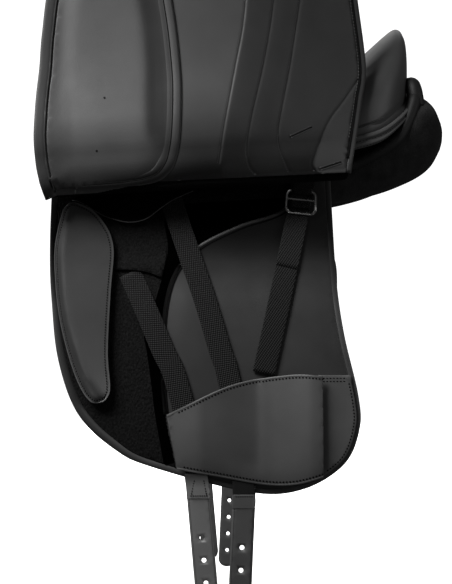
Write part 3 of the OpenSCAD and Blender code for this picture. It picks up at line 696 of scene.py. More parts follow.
def sweat_flap(side):
    add("sweat_base", sheet(moved(SWEAT, BASE_IN), 0, SWEAT_T, barrel, 1.2, 9), side, "base_fabric",
        nodes=["sweat_flap"])
    add("loop_cloth", sheet(moved(SWEAT, LOOP_IN), SWEAT_T, LOOP_TOP, barrel, 1.0, 8), side, "loop_fabric",
        nodes=["loop_patch"], lean=loop_lean)
    facing = sheet(behind_facing(FACING_IN), SWEAT_T, facing_front, barrel, 1.4, 6,
                   lines=[(FACING, (2.5, 4.5, 7))])
    add("facing_skin", facing, side, "facing_leather", nodes=["facing"], lean=facing_lean)
    rim = resample(moved(SWEAT, EDGE_IN), 4)
    thick = 1 + EDGE_MORE * fade(rim[:, 0], -60, -120) * fade(rim[:, 1], -120, -200)
    add("sweat_edge", sweep(rim, oval(3.9, 2.7, 16, 0.85), barrel, SWEAT_T / 2 + 0.6, scale=thick), side,
        "edge_leather", nodes=["sweat_binding"], slot="binding", lean=edge_lean)
    bead = resample(FACING[FACING[:, 1] > BEAD_LOW_Z], 4)
    add("bead", sweep(moved(bead, BEAD_IN), LOW_BEAD, barrel, FACING_TOP), side, "facing_leather",
        nodes=["facing_bead"], slot="binding", lean=bead_lean)
    add("bead_groove", sweep(moved(bead, GROOVE_IN), oval(0.8, 0.5, 8), barrel, FACING_TOP + 0.5), side,
        "thread", slot="facing_leather")
    # The slot's cloth is partly the base fabric's own black and partly painted shade of the gap
    shaded_slot_cloth = np.vstack([SLOT_CLOTH_EDGE, FACING[6:-4] + (3.0, 0)])[::-1]
    add("slot_cloth_sheet", sheet(shaded_slot_cloth, LOOP_TOP - 0.5, LOOP_TOP + 0.35, barrel, 0.4, 8), side, "shaded_slot_cloth",
        slot="base_fabric")
    cover = np.vstack([COVER_EDGE, COVER_TOP])
    cover_skin = sheet(cover, cover_seat, lambda p, d: cover_seat(p) + POINT_COVER_T, barrel, 0.8, 7)
    # The point cover is near-black leather over its facing leather: painted shade under the lifted flap
    add("point_skin", cover_skin, side, "painted_shade_leather", nodes=["point_cover"], slot="facing_leather")
    edge = resample(moved(COVER_EDGE, 0.3), 3)[1:]
    add("point_edge", sweep(edge, oval(0.7, 0.8, 8), barrel, cover_seat(edge) + 1.0), side,
        "edge_leather", slot="facing_leather")
    tongue = np.vstack([TONGUE_EDGE, TONGUE_TOP])
    add("slot_tongue", sheet(tongue, LOOP_TOP, tongue_front, barrel, 0.9, 6), side, "loop_fabric")


# The thigh block

BLOCK = spline([(-150.5, -12), (-136, -17), (-125, -24.5), (-114, -38), (-107.5, -50.5), (-104, -70),
                (-106.5, -112), (-108.5, -177), (-105.5, -213), (-108, -225), (-114, -230.5),
                (-126.5, -229.5), (-140.5, -208), (-154, -169), (-163.5, -127.5), (-168.5, -81),
                (-168, -55), (-163, -27), (-159, -17)], 6, True)[::-1]
BLOCK_CREASE = spline([(-152, -140), (-146, -170), (-136, -196), (-122, -218), (-114, -227)], 6)
BLOCK_SEAM, BLOCK_STITCH = 3.0, dict(pitch=2.9, length=2.2, width=1.8, height=1.4)
CREASE_DEPTH, CREASE_W, GROOVE_DEPTH, GROOVE_W = 0.8, 3.0, 0.5, 1.0
# Share of the full height, width of the rounded front and turn downwards, each beside its Z
BLOCK_RISE = [(-231, 0.25), (-224, 0.55), (-205, 0.78), (-165, 0.94), (-115, 1), (-75, 0.95), (-45, 0.82),
              (-22, 0.55), (-12, 0.25)]
CREST_IN = [(-230, 14), (-150, 17), (-60, 22)]
BLOCK_DOWN = [(-230, -18), (-198, -8), (-143, 1), (-88, 6), (-60, 14), (-44, 23), (-15, 40)]
BLOCK_RIGHT = 2


def block_edge(z):
    """Height of the block's side wall."""
    return BLOCK_EDGE * np.minimum(1, BLOCK_H / BLOCK_EDGE * table(BLOCK_RISE, z))


def block_front(p, d):
    """Rounded front, a crest along it, and a flat slope to the rear edge."""
    x, z = p.T
    low, high = span_at(BLOCK, z)
    back = np.clip((x - low) / np.maximum(high - low, 1), 0, 1)
    wall = smooth((x - low) / table(CREST_IN, z))
    rise = np.maximum(0, BLOCK_H * table(BLOCK_RISE, z) - BLOCK_EDGE)
    body = rise * wall * (1 - back) * fade(d, 0.5, 6.5)
    crease = CREASE_DEPTH * bump(distance(p, BLOCK_CREASE), CREASE_W)
    groove = GROOVE_DEPTH * bump(d - BLOCK_SEAM, GROOVE_W)
    return BLOCK_SEAT + block_edge(z) + body - crease - groove


def block_lean(places, normals):
    """The block's face shades as flat leather that rolls back at its top."""
    x, y, z = places.T
    low, _ = span_at(BLOCK, z)
    flat = np.stack([0 * x, y - BARREL_Y, z + BARREL_DROP], 1)
    flat /= np.linalg.norm(flat, axis=1, keepdims=True)
    crease = bump(distance(places[:, [0, 2]], BLOCK_CREASE), 5) * fade(z, -135, -185)
    face = mixed(normals, flat, outer(normals) * fade(x - low, 5, 14) * (1 - crease))
    return leaned(face, outer(normals) * table(BLOCK_DOWN, z), outer(normals) * BLOCK_RIGHT)


def on_block(points):
    return block_front(points, distance(points, BLOCK, True)) + BLOCK_THREAD_UP


def thigh_block(side):
    lines = [(BLOCK_CREASE, (-3, -1.5, 0, 1.5, 3))] + [(moved(BLOCK, k, True), (0,)) for k in (2, 3, 4, 6)]
    pad = add("block_pad", sheet(BLOCK, BLOCK_SEAT, block_front, barrel, 2.0, 4.5, 0.45, lines), side,
              "block_leather", "thigh_block", ["thigh_block"], lean=block_lean)
    rim = resample(moved(BLOCK, 0.5, True), 3, True)
    height = BLOCK_SEAT + 0.8 * block_edge(rim[:, 1])
    add("block_piping", sweep(rim, oval(1.1, 1.5, 10), barrel, height, True), side, "edge_leather",
        "thigh_block", slot="block_leather", lean=block_lean)
    seam = moved(BLOCK, BLOCK_SEAM, True)
    add("block_thread", stitches(seam, barrel, on_block, closed=True, **BLOCK_STITCH), side, "thread",
        "thigh_block", slot="block_leather")


# Webbing straps and slide buckle

FRONT_FOLD, FRONT_LEAN = (-10, -328), -5
MIDDLE_FOLD, MIDDLE_LEAN = (40, -339), 2.5
FRONT_LINE = [(-86, -91), (-73.5, -117.5), (-60.3, -147), (-48, -176), (-38.5, -194.5), (-32, -214),
              (-26, -236), (-13, -290), FRONT_FOLD]
MIDDLE_LINE = [(-49, 18), (-36, -22), (-21, -66), (-2, -121), (14.5, -176), (23, -203), (39, -290),
               MIDDLE_FOLD]
REAR_LINE = [(114, 20), (62, -201)]
REAR_LAP, LAP_RISE, LAP_THIN = (0.08, 0.475), 0.9, 0.5
STRAP = oval(STRAP_W / 2, 1.1, 20, 0.35)
STRAP_MID, STRAP_LOW = (STRAP_SEAT + STRAP_TOP) / 2, LOOP_TOP + 0.2
BUCKLE_AT, BUCKLE_TILT = (107.5, -11.5), 6
BUCKLE_HALF_W, BUCKLE_HALF_L, BUCKLE_CORNER, BUCKLE_BAR = 16.4, 12.6, 5.5, 2.5
BUCKLE_TOP, BUCKLE_TURNS = STRAP_TOP + 1.7, ((16.5, 9.5), (0.8, -6.5))
GLINT_LOW = [(-22, 1), (-19, 0)]


def resized(section, wide, thick):
    return [(a * wide, u * thick) for a, u in section]


def straps(side):
    front, middle, rear = (resample(spline(l, 6), 5) for l in (FRONT_LINE, MIDDLE_LINE, REAR_LINE))
    climb = smooth(np.linspace(0, 4, len(front)))
    base = STRAP_LOW + (STRAP_MID - STRAP_LOW) * climb
    add("webbing_front", sweep(front, STRAP, barrel, base), side, "webbing", nodes=["strap_front"])
    add("webbing_middle", sweep(middle, STRAP, barrel, STRAP_MID), side, "webbing", nodes=["strap_middle"])
    lap = sweep(part_of(rear, *REAR_LAP), resized(STRAP, 1, LAP_THIN), barrel, STRAP_MID + LAP_RISE)
    trim("webbing_rear", [sweep(rear, STRAP, barrel, STRAP_MID), lap], side, "webbing",
         nodes=["strap_rear"])


def buckle_lean(places, normals):
    """Only the lower bar catches the light under the fold."""
    low = table(GLINT_LOW, places[:, 2])[:, None]
    return low * (0.45 * normals + 0.55 * GLINT) + (1 - low) * (0.1 * normals + 0.9 * SHADE)


def slide_buckle(side):
    c, s = math.cos(math.radians(BUCKLE_TILT)), math.sin(math.radians(BUCKLE_TILT))

    def placed(points):
        return np.array(points) @ np.array([[c, -s], [s, c]]) + BUCKLE_AT
    ring = [(x * (BUCKLE_HALF_W - BUCKLE_CORNER) + BUCKLE_CORNER * math.cos(a),
             z * (BUCKLE_HALF_L - BUCKLE_CORNER) + BUCKLE_CORNER * math.sin(a))
            for x, z, start in ((1, 1, 0), (-1, 1, 90), (-1, -1, 180), (1, -1, 270))
            for a in np.radians(np.arange(start, start + 91, 15))]
    bar = placed([(-BUCKLE_HALF_W, BUCKLE_BAR), (0, BUCKLE_BAR), (BUCKLE_HALF_W, BUCKLE_BAR)])
    trim("buckle", [sweep(placed(ring), oval(1.6, 1.3, 12), barrel, BUCKLE_TOP, True),
                    sweep(resample(bar, 3), oval(1.3, 1.1, 10), barrel, BUCKLE_TOP)],
         side, "buckle_metal", "slide_buckle", ["slide_buckle"], lean=buckle_lean)
    turns = []
    for top, bottom in BUCKLE_TURNS:
        line = resample(placed([(0, top), (0, bottom)]), 1.5)
        over = BUCKLE_TOP + 1.1 * np.sin(np.linspace(0.15, math.pi - 0.15, len(line))) ** 0.5
        turns.append(sweep(line, resized(STRAP, 0.9, 0.8), barrel, over))
    trim("buckle_turns", turns, side, "webbing", "slide_buckle")


# The pocket

POCKET_LOW = spline([(-33, -303), (10, -311), (60, -320), (95, -320), (126, -312)], 8)
POCKET_HIGH = spline([(126, -203), (90, -202), (24, -214), (-44, -245)], 8)[::-1]
POCKET_T, POCKET_BASE, GUSSET_T = 2.2, FACING_TOP + 3.0, 4.2
POCKET_FRONT_X, GUSSET_X, GUSSET_Z, GUSSET_SEAMS = -38, 121, -203, (-206.2, -209.6)
POCKET_SWELL, POCKET_SWELL_W, POCKET_DENT, POCKET_DENT_W = 1.6, 20, 2.6, 24
POCKET_RAMP, POCKET_RAMP_LOW, SEWN_PULL, SEWN_PULL_W = 4.2, 0.8, 0.5, 10
# Turn to the right, beside X
POCKET_RIGHT = [(-40, -24), (-14, -16), (-2, 2), (44, 6), (54, 4), (66, -14), (78, -20), (108, -20),
                (116, -6), (126, 3), (132, 3), (145, -3), (156, -11)]


def pocket_front(p, d=None):
    """Leather drawn over the straps: a swell at each end, pressed in between and at its sewn edges."""
    x, z = p.T
    low = distance(p, POCKET_LOW)
    lift = 1 - SEWN_PULL * np.exp(-np.minimum(low, np.abs(x - POCKET_FRONT_X)) / SEWN_PULL_W)
    front_swell = POCKET_SWELL * bump(x + 14 - 0.06 * (z + 260), POCKET_SWELL_W)
    dent = POCKET_DENT * fade(x, 4, 50) * (1 - fade(x, 54, 62)) * smooth(low / POCKET_DENT_W)
    ramp = POCKET_RAMP * fade(x, 54, 120) - POCKET_RAMP_LOW
    return POCKET_BASE + (POCKET_TOP - POCKET_BASE) * lift + front_swell - dent + ramp


def pocket_lean(places, normals):
    """The pocket's swells shade more than they rise."""
    flat = normals.copy()
    flat[:, 2] = np.clip(flat[:, 2], -0.3, 0.3)
    flat /= np.linalg.norm(flat, axis=1, keepdims=True)
    return leaned(flat, 0, outer(normals) * table(POCKET_RIGHT, places[:, 0]))


def on_pocket(points):
    return pocket_front(points) + POCKET_THREAD_UP


def rear_rim(d, x, z):
    """The sweat flap's rim behind X and below Z, moved inwards."""
    rim = moved(SWEAT, d)
    return rim[(rim[:, 0] > x) & (rim[:, 1] < z)]


def pocket(side):
    finish = dict(slot="facing_leather", lean=pocket_lean)
    outline = np.vstack([POCKET_LOW, POCKET_HIGH[::-1]])
    skin = sheet(outline, lambda p, d: pocket_front(p) - POCKET_T, pocket_front, barrel, 1.1, 5,
                 lines=[(POCKET_HIGH, (-3, -4.5, -6)), (POCKET_LOW, (3, 4.5, 6))])
    add("pocket_skin", skin, side, "pocket_leather", nodes=["pocket"], **finish)
    for name, line in (("pocket_lip", moved(POCKET_HIGH, -1.3)), ("pocket_hem", moved(POCKET_LOW, 1.2))):
        rim = resample(line, 4)
        add(name, sweep(rim, oval(1.5, 1.1, 10), barrel, pocket_front(rim) - 0.7), side, "pocket_leather",
            **finish)
    rear = rear_rim(5, GUSSET_X, GUSSET_Z - 1)
    gusset = np.vstack([rear, [(rear[-1][0], GUSSET_Z), (GUSSET_X, GUSSET_Z)]])
    top = FACING_TOP + GUSSET_T
    add("pocket_gusset", sheet(gusset, FACING_TOP, top, barrel, 1.4, 6), side, "pocket_leather",
        nodes=["pocket_side"], **finish)
    seams = [stitches(moved(POCKET_HIGH[2:], -3.2), barrel, on_pocket, width=2.0),
             stitches(moved(POCKET_LOW[2:], 4.0), barrel, on_pocket, width=2.0),
             stitches(resample(rear_rim(8, 128, -209), 3), barrel, top + THREAD_UP, width=2.0)]
    seams += [stitches(np.array([(124, z), (150, z)]), barrel, top + THREAD_UP)
              for z in GUSSET_SEAMS]
    trim("pocket_thread", seams, side, "thread", slot="facing_leather")


# The girth points: each hangs on a roll, under leather that is sewn over the strap's end

POINT_HALF_W, POINT_TIP, POINT_TOP, POINT_SEAM = STRAP_W / 2, 9, -2.9, 2.2
POINT_ROLL_R, POINT_LIT = 3.3, (-14, -12)
POINT_STITCH = dict(pitch=2.6, length=1.9, width=0.7, height=0.5)
ROOT_STITCH = dict(pitch=2.6, length=2.0, width=1.7, height=1.1)
ROOT_RISES = [(-7, 11.3), (-3.5, 12.6), (0, 13.3), (3, 13.2), (8, 10.9), (20, 10.1)]
ROOT_HALF_W, ROOT_LOW, ROOT_KNEE, ROOT_T, ROOT_BEND = 12.7, -7, 3, 1.0, 4
ROOT_TOP = {"front": (-2.4, 20), "rear": (-0.3, 8)}
ROOT_SEAMS = {"front": ([(-7.5, -3.5), (9.5, -3.5)], [(-4, 12), (-7.5, -3.5)], [(6.5, 12), (9.5, -3.5)]),
              "rear": ([(-8.5, 6), (8.5, 6)],)}
ROOT_SHADE = [(-322, 0), (-312, 0.45)]
LAP = np.array([(-1, 26), (0, 6)])


def flat_lean(places, normals):
    """The turned leather shades like the flat leather below it."""
    return mixed(normals, np.array([0, -1, 0]), outer(normals, 4))


def lit_lean(places, normals):
    """The front point hangs turned to the light."""
    return leaned(normals, *[outer(normals) * angle for angle in POINT_LIT])


def root_lean(places, normals):
    """The front root shades like the flat leather below it, and goes dark under the hem."""
    return shaded(lit_lean(places, flat_lean(places, normals)), table(ROOT_SHADE, places[:, 2]))


def girth_point(side, name, fold, lean):
    surface, body = point_surface(fold, lean), "girth_point_" + name
    half, tip = POINT_HALF_W, POINT_TIP
    right = np.array([(half - tip, -POINT_LEN), (half - 3, 3.5 - POINT_LEN), (half, tip - POINT_LEN),
                      (half, POINT_TOP)])
    outline = np.vstack([right[::-1] * (-1, 1), right])
    c, s = circle(HOLE_SIDES)
    holes = [np.stack([HOLE_R * c, k * HOLE_PITCH - POINT_LEN + HOLE_R * s], 1)[::-1]
             for k in range(1, HOLES + 1)]
    strip = sheet(outline, -POINT_T / 2, POINT_T / 2, surface, 0.9, 6, holes=holes)
    add("point_" + name, strip, side, "point_leather", body, [body],
        lean=lit_lean if name == "front" else None)
    up, out = (POINT_ROLL_R * k for k in circle(14)[::-1])
    roll = [surface(np.full(len(up), x), up, out) for x in (-half, 1 - half, half - 1, half)]
    add("point_roll_" + name, tube(np.array(roll)), side, "point_leather", body, lean=flat_lean)
    rows = [np.array([(x, -8), (x, tip - POINT_LEN)]) for x in (POINT_SEAM - half, half - POINT_SEAM)]
    trim("point_thread_" + name, [stitches(resample(r, 3), surface, POINT_T / 2 + THREAD_UP, **POINT_STITCH)
                                  for r in rows], side, "thread", body, slot="point_leather")


def point_root(side, name, fold, lean):
    """Leather that is sewn over the strap's end and bends over the roll."""
    x, z = fold
    body = "girth_point_" + name
    foot = ROOT_LOW * math.tan(math.radians(lean))
    top, rise = ROOT_TOP[name]
    half = ROOT_HALF_W
    outline = np.array([(foot - half, ROOT_LOW), (foot + half, ROOT_LOW), (half, ROOT_KNEE),
                        (top + half, rise), (top - half, rise), (-half, ROOT_KNEE)]) + fold

    def front(p, d=None):
        return table(ROOT_RISES, p[:, 1] - z)
    y = barrel(np.array(x, float), z, STRAP_SEAT)[1]
    how = dict(bend=((x, y, z + ROOT_BEND), (x, y, z - ROOT_BEND)))
    add("point_root_" + name, sheet(outline, lambda p, d: front(p) - ROOT_T, front, barrel, 0.5, 4), side,
        "point_leather", body, lean=root_lean if name == "front" else flat_lean, **how)
    seams = [stitches(resample(np.array(seam, float) + fold, 2), barrel, lambda p: front(p) + THREAD_UP,
                      **ROOT_STITCH) for seam in ROOT_SEAMS[name]]
    trim("root_thread_" + name, seams, side, "thread", body, slot="point_leather", **how)
    if name == "rear":
        add("point_lap", sweep(resample(LAP + fold, 3), resized(STRAP, 0.97, 1.2), barrel, STRAP_MID), side,
            "rim_leather", slot="point_leather")


# The flap: its inner face has the padding, the seams and the slits

FLAP = {NEAR: flap_surface(LIFT), FAR: flap_surface(0)}
FLAP_IN = {NEAR: flap_surface(LIFT, -1), FAR: flap_surface(0, -1)}
FOLD_R, ROLL_GAP, HOLLOW_LOW, FLAP_TOP = 7.4, 0.5, 0.8, 0.5
FLAP_LINE = spline([(-177, FLAP_TOP), (-182.5, -3), (-185.5, -14), (-189, -31), (-191, -58), (-189.4, -85),
                    (-186.4, -112), (-182, -140), (-177, -180), (-164, -240), (-132, -300), (-70, -338),
                    (20, -352), (110, -345), (160, -312), (181, -250), (187, -190), (190, -119), (182, -81),
                    (170.5, -36), (161.5, -6), (160, FLAP_TOP)], 8)
FLAP_SEAM = spline([(-166, -2.4), (-118, -2.4), (-86, -2.6), (-68, -3.6), (-52, -8), (-40, -20), (-34, -37),
                    (-30, -60), (-26.5, -100), (-26, -132), (-29, -190), (-38, -250), (-62, -303)], 6)
FLUTES = [spline(l, 6) for l in (
    [(15, -20), (22.7, -56), (31.8, -92), (41, -128), (54, -180), (62, -240), (64, -296)],
    [(54, -5), (47.8, -16), (47.8, -38), (56, -71), (73, -127), (86, -180), (96, -240), (98, -290)],
    [(91.4, -6), (84.7, -30), (84, -50), (90, -75), (103.5, -125), (116, -180), (126, -230), (130, -276)],
    [(124, -2), (119, -5.6), (118, -13.4), (127.5, -33), (142.5, -60), (161.5, -82), (186, -113)])]
SLITS = [[(97, -44), (122, -53.7)], [(126, -6.3), (150, -12.6)]]
SPOTS, SPOT_R, SPOT_SIDES = np.array([(-109, -100.5), (-120, -41)]), 0.8, 10
VALLEY = spline([(-53.4, -38), (-54.6, -61), (-54, -95), (-52, -134), (-54, -190), (-64, -250),
                 (-84, -296)], 6)
EDGE_START = [(-178, 10), (-180.2, 4), (-182, -2)]
DOUBLE_BEAD = [(-4.2, 0), (-3.2, 1.5), (-2.0, 1.9), (-0.8, 1.3), (-0.2, 0.7), (0.6, 1.3), (1.8, 1.9),
               (3.0, 1.4), (4.2, 0), (2, -0.4), (-2, -0.4)]
TURN_IN, SEWN_DEPTH, SEWN_W, SKIN_T = 4.4, 0.8, 1.1, 0.9
FLAP_BASE, FLAP_SWELL, FLAP_SWELL_W = FLAP_HALF_T + 0.6, 0.4, 30
FLUTE_SWELL, FLUTE_SWELL_W, FLUTE_SWELL_IN = 0.25, 8, 9
PAD_BASE, PAD_RISE, PAD_SWELL_W, VALLEY_DEPTH, VALLEY_W = FLAP_HALF_T + 2.0, 3.4, 26, 1.4, 6
FLUTE_ROWS, VALLEY_ROWS = (-4, -1.8, -0.9, 0, 0.9, 1.8, 4), (-9, -6, -3, 0, 3, 6, 9)
SKIN_IN, PAD_IN, PAD_BACK = 6, 15, FLAP_HALF_T - 0.4
BOUND_AT, BOUND_HALF_W, BOUND_GROOVE, BOUND_NARROW = 6.4, 6.6, 13.6, 0.52
BOUND_UP, BOUND_UNDER, BOUND_DIP = 3.3, 3.0, 2.5
FLAP_BEAD_OUT, FLAP_BEAD_BASE, FLAP_BEAD_RISE = 5.5, FLAP_HALF_T + 0.8, 1.8
FLUTE_STITCH = dict(pitch=2.6, length=1.9, width=0.7, height=0.6)
FOLD_ROWS = (-36, -30, -24, -18, -14, -10.5, -9, -7.9, -7, -6, -5, -4, -3, -2, -1)
# Share of the bead's full size, beside X less Z
BEAD_FULL = [(-164, 0.3), (-90, 0.5), (-20, 1)]

# Turns of the inner face in degrees, beside the flap's own Z or X, or beside X behind the first flute
LEAN_DOWN = [(-110, 0), (-80, 2), (-52, 14), (-40, 24), (-13, 37), (0, 46)]
LEAN_LOW = [(-26, 0), (-13, 6), (0, 18)]
LEAN_MIDDLE = [(-110, 0), (-80, 7), (-45, 12), (-22, 20), (-8, 26), (0, 34)]
LEAN_RIGHT = [(-190, 16), (-172, 14), (-161, 13), (-152, 4), (-144, -6), (-109, -3), (-73, -4), (-38, -2),
              (-3, 2), (40, 3)]
LEAN_REAR = [(0, 0), (5, 28), (50, 37), (100, 36), (140, 33)]
HOLLOW_RIGHT, HOLLOW_AT, HOLLOW_W, CORNER_LEFT = 32, 2, 9, 4


def turn_in(p):
    """The flap thickens towards its fold, to lie round the roll."""
    return TURN_IN * fade(p[:, 1], -40, -6)


def flap_back(p, d):
    """The outer face, hollowed where the roll lies."""
    z = p[:, 1]
    hollow = np.sqrt(np.maximum(0, (FOLD_R + ROLL_GAP) ** 2 - np.minimum(z, FLAP_TOP) ** 2))
    return np.where(z < -FOLD_R - HOLLOW_LOW, -FLAP_HALF_T, hollow)


def flap_front(p, d):
    """The flap's inner face with narrow sewn lines."""
    sewn = sum(SEWN_DEPTH * bump(distance(p, line), SEWN_W) for line in FLUTES)
    swell = sum(FLUTE_SWELL * bump(distance(p, moved(line, FLUTE_SWELL_IN)), FLUTE_SWELL_W)
                for line in FLUTES[:3])
    face = FLAP_BASE + FLAP_SWELL * smooth(d / FLAP_SWELL_W) + swell - sewn + turn_in(p)
    return np.maximum(face, flap_back(p, d) + SKIN_T)


def on_flap(points):
    return flap_front(points, FLAP_SWELL_W) + THREAD_UP


def pad_front(p, d):
    """The padded front of the flap, drawn down beside its seam."""
    valley = VALLEY_DEPTH * bump(distance(p, VALLEY), VALLEY_W) * fade(p[:, 1], -30, -60)
    return PAD_BASE + PAD_RISE * smooth(d / PAD_SWELL_W) - valley + turn_in(p)


def behind(line, x, z):
    """How far behind a line each place lies, along X."""
    line = line[np.argsort(line[:, 1])]
    return x - np.interp(z, line[:, 1], line[:, 0])


def flap_lean(places, normals):
    """The lifted flap's inner face rolls away to its fold and to the rear."""
    m = turn(-FOLD_PITCH, "Y") @ turn(-LIFT, "X")
    x, y, z = ((places - (0, -FOLD_HALF_W, FOLD_Z)) @ m).T
    inward = np.stack([0 * x, FLAP_R * math.cos(FLAP_SLOPE) - y, -FLAP_R * math.sin(FLAP_SLOPE) - z], 1)
    share = smooth(np.sum(inward / FLAP_R @ m.T * normals, 1) * 2)
    hollow = HOLLOW_RIGHT * bump(behind(VALLEY, x, z) - HOLLOW_AT, HOLLOW_W) * fade(z, -28, -68)
    corner = fade(behind(FLUTES[3], x, z), 0, 4) * fade(z, -105, -25)
    rear = table(LEAN_REAR, behind(FLUTES[0], x, z)) * (1 - 0.16 * fade(z, -110, -50) * fade(x, 60, 100))
    right = table(LEAN_RIGHT, x) + rear + hollow - CORNER_LEFT * corner
    middle = fade(x, -90, 0) * (1 - 0.5 * fade(x, 30, 90)) * table(LEAN_MIDDLE, z)
    low = fade(x, -140, -80) * table(LEAN_LOW, z)
    down = (table(LEAN_DOWN, z) + middle + low) * (1 - 0.65 * corner)
    return leaned(normals, share * down, share * right)


def pad_lean(places, normals):
    """The front corner lies in the shade of the bound edge."""
    corner = fade(places[:, 0], -160, -165) * fade(places[:, 2], 12, 7)
    return shaded(flap_lean(places, normals), 0.9 * corner)


def pad_outline():
    """The padding lies between the bound edge and the seam."""
    rim = moved(FLAP_LINE, PAD_IN)
    x, z = rim.T
    return np.vstack([rim[(x < -70) & (z < -14) & (z > -304)], moved(FLAP_SEAM, 1.0)[::-1]])


def flap(side):
    inner, body = FLAP_IN[side], "flap"
    lines = [(line, FLUTE_ROWS) for line in FLUTES]
    lines += [(np.array([(-172.0, z), (152, z)]), (0,)) for z in FOLD_ROWS]
    skin = sheet(moved(FLAP_LINE, SKIN_IN), flap_back, flap_front, inner, SKIN_T, 7, lines=lines)
    add("flap_skin", skin, side, "flap_leather", body, ["flap"], lean=pad_lean)
    padding = sheet(pad_outline(), lambda p, d: PAD_BACK + turn_in(p), pad_front, inner, 1.6, 6,
                    lines=[(VALLEY, VALLEY_ROWS)])
    pad = add("flap_padding", padding, side, "flap_leather", body, ["flap_pad"], lean=pad_lean)
    front = np.argmax(FLAP_LINE[:, 1] < -8)
    line = resample(np.vstack([EDGE_START, FLAP_LINE[front:]]), 4)
    left, wide = left_of(line), 1 - BOUND_NARROW * fade(line[:, 0], -150, -30)
    rim = line + left * (BOUND_AT * wide)[:, None]
    loops = []
    for a, u in oval(BOUND_HALF_W, 1.0, 18, 0.6):
        q = rim + left * (a * wide)[:, None]
        rise = u * (BOUND_UP if u > 0 else BOUND_UNDER) * (0.55 + 0.45 * wide) + 0.3
        dip = BOUND_DIP * fade(line[:, 1], 0, 7)
        loops.append(inner(q[:, 0], q[:, 1], rise + turn_in(q) * (1 + u) / 2 - dip))
    add("flap_edge", tube(np.stack(loops, 1)), side, "flap_leather", body, ["flap_binding"], lean=flap_lean)
    rim = line + left * (BOUND_GROOVE * wide)[:, None]
    groove = rim[1:-4]
    seam = resample(FLAP_SEAM[FLAP_SEAM[:, 0] > -150], 3)
    full = table(BEAD_FULL, seam[:, 0] - seam[:, 1])
    bead = seam - left_of(seam) * (FLAP_BEAD_OUT * full)[:, None]
    top = FLAP_BEAD_BASE + FLAP_BEAD_RISE * full + turn_in(bead)
    add("flap_bead", sweep(bead, resized(DOUBLE_BEAD, 2.4, 0.6), inner, top, scale=full), side,
        "flap_leather", body, lean=flap_lean)
    beside = left_of(bead) * full[:, None]
    trim("flap_thread", [sweep(groove, oval(0.9, 0.6, 8), inner, on_flap(groove)),
                         sweep(bead, oval(0.6, 0.5, 8), inner, top + 0.6 * full),
                         sweep(bead - 5.4 * beside, oval(0.6, 0.5, 8), inner, top + 0.5 * full),
                         sweep(bead + 5.6 * beside, oval(0.7, 0.6, 8), inner, top),
                         stitches(moved(rim[10:-10], 2.5), FLAP[side], FLAP_HALF_T + THREAD_UP)], side,
         "thread", body, slot="flap_leather")
    rows = [stitches(resample(moved(f, -1.6), 3), inner, on_flap, **FLUTE_STITCH) for f in FLUTES[:3]]
    rows.append(stitches(moved(rim[10:-10], 2.2), inner, on_flap))
    trim("flap_rows", rows, side, "edge_leather", body, slot="flap_leather", lean=flap_lean)
    cuts = [resample(np.array(s, float), 2) for s in SLITS]
    marks = [sweep(cut, oval(0.7, 0.5, 8), inner, on_flap(cut)) for cut in cuts]
    for at, height in zip(SPOTS, pad_front(SPOTS, PAD_SWELL_W)):
        ring = at + SPOT_R * np.stack(circle(SPOT_SIDES), 1)
        marks.append(sweep(ring, oval(0.5, 0.4, 6), inner, height + THREAD_UP, True))
    trim("flap_marks", marks, side, "thread", body, slot="flap_leather")
    lips = [moved(cut, k) for cut in cuts for k in (-1.4, 1.4)]
    trim("flap_lips", [sweep(lip, oval(0.6, 0.5, 8), inner, on_flap(lip)) for lip in lips], side,
         "flap_leather", body, lean=flap_lean)


# The roll that the flap turns on, and the strip behind it

STRIP_FRONT, STRIP_REAR, STRIP_IN, STRIP_RISE, STRIP_T = -158, 140, 121.3, 24, 3.5
ROLL_SIDES, ROLL_ENDS = 64, 0.3
# X of each ring and its share of the radius
ROLL_RINGS = ((-178, 0.35), (-177, 0.72), (-175, 0.93), *[(x, 1) for x in range(-172, -40, 4)], (60, 1),
              (150, 1), (154, 0.93), (156, 0.72), (157, 0.35))
# Upward share of a normal from which the roll is flap leather, beside X; below it the roll is near-black
# leather, painted shade
ROLL_LIT = [(-120, -0.75), (-55, 0.4)]
# Share of shade and turn downwards, beside the upward share of a normal
ROLL_SHADE, ROLL_DOWN = [(-0.65, 1), (0.0, 0.5), (0.5, 0)], [(0, 30), (0.5, 0)]


def roll_lean(places, normals):
    """The roll goes dark on its way under the flap and at its front end."""
    up = normals[:, 2]
    end = fade(places[:, 0], -158, -164) * fade(up, 0, 0.3)
    return shaded(leaned(normals, table(ROLL_DOWN, up), 0), np.maximum(table(ROLL_SHADE, up), end))


def fold(side):
    m = turn(-FOLD_PITCH, "Y")

    def pitched(data):
        verts, faces, flat = data
        return verts @ m.T + (0, -FOLD_HALF_W, FOLD_Z), faces, flat
    c, s = circle(ROLL_SIDES)
    rings = [np.stack([np.full(ROLL_SIDES, x), FOLD_R * k * c, FOLD_R * k * s], 1) for x, k in ROLL_RINGS]
    roll = add("fold_roll", pitched(tube(np.array(rings))), side, "painted_shade_leather", nodes=["flap_root"],
               slot="flap_leather", lean=roll_lean)
    # Faces that look up, and not towards an end, are flap leather; the rest keep the near-black leather as
    # painted shade of the roll's underside
    roll.data.materials.append(M["flap_leather"])
    for face in roll.data.polygons:
        lit = face.normal.z > table(ROLL_LIT, face.center.x / MM)
        face.material_index = int(lit and abs(face.normal.x) < ROLL_ENDS)
    reach = (FOLD_HALF_W - STRIP_IN) / math.cos(math.radians(STRIP_RISE))
    grid = np.array([[(x, y, 0) for y in np.linspace(3, reach, 12)]
                     for x in np.linspace(STRIP_FRONT, STRIP_REAR, 30)])
    strip = shell(grid @ turn(STRIP_RISE, "X").T + (0, 0, STRIP_T / 2), STRIP_T)
    add("fold_strip", pitched(strip), side, "flap_leather")


# The seat. Rows are X, half width, edge and top of the seat, and X, half width and edge of the tree

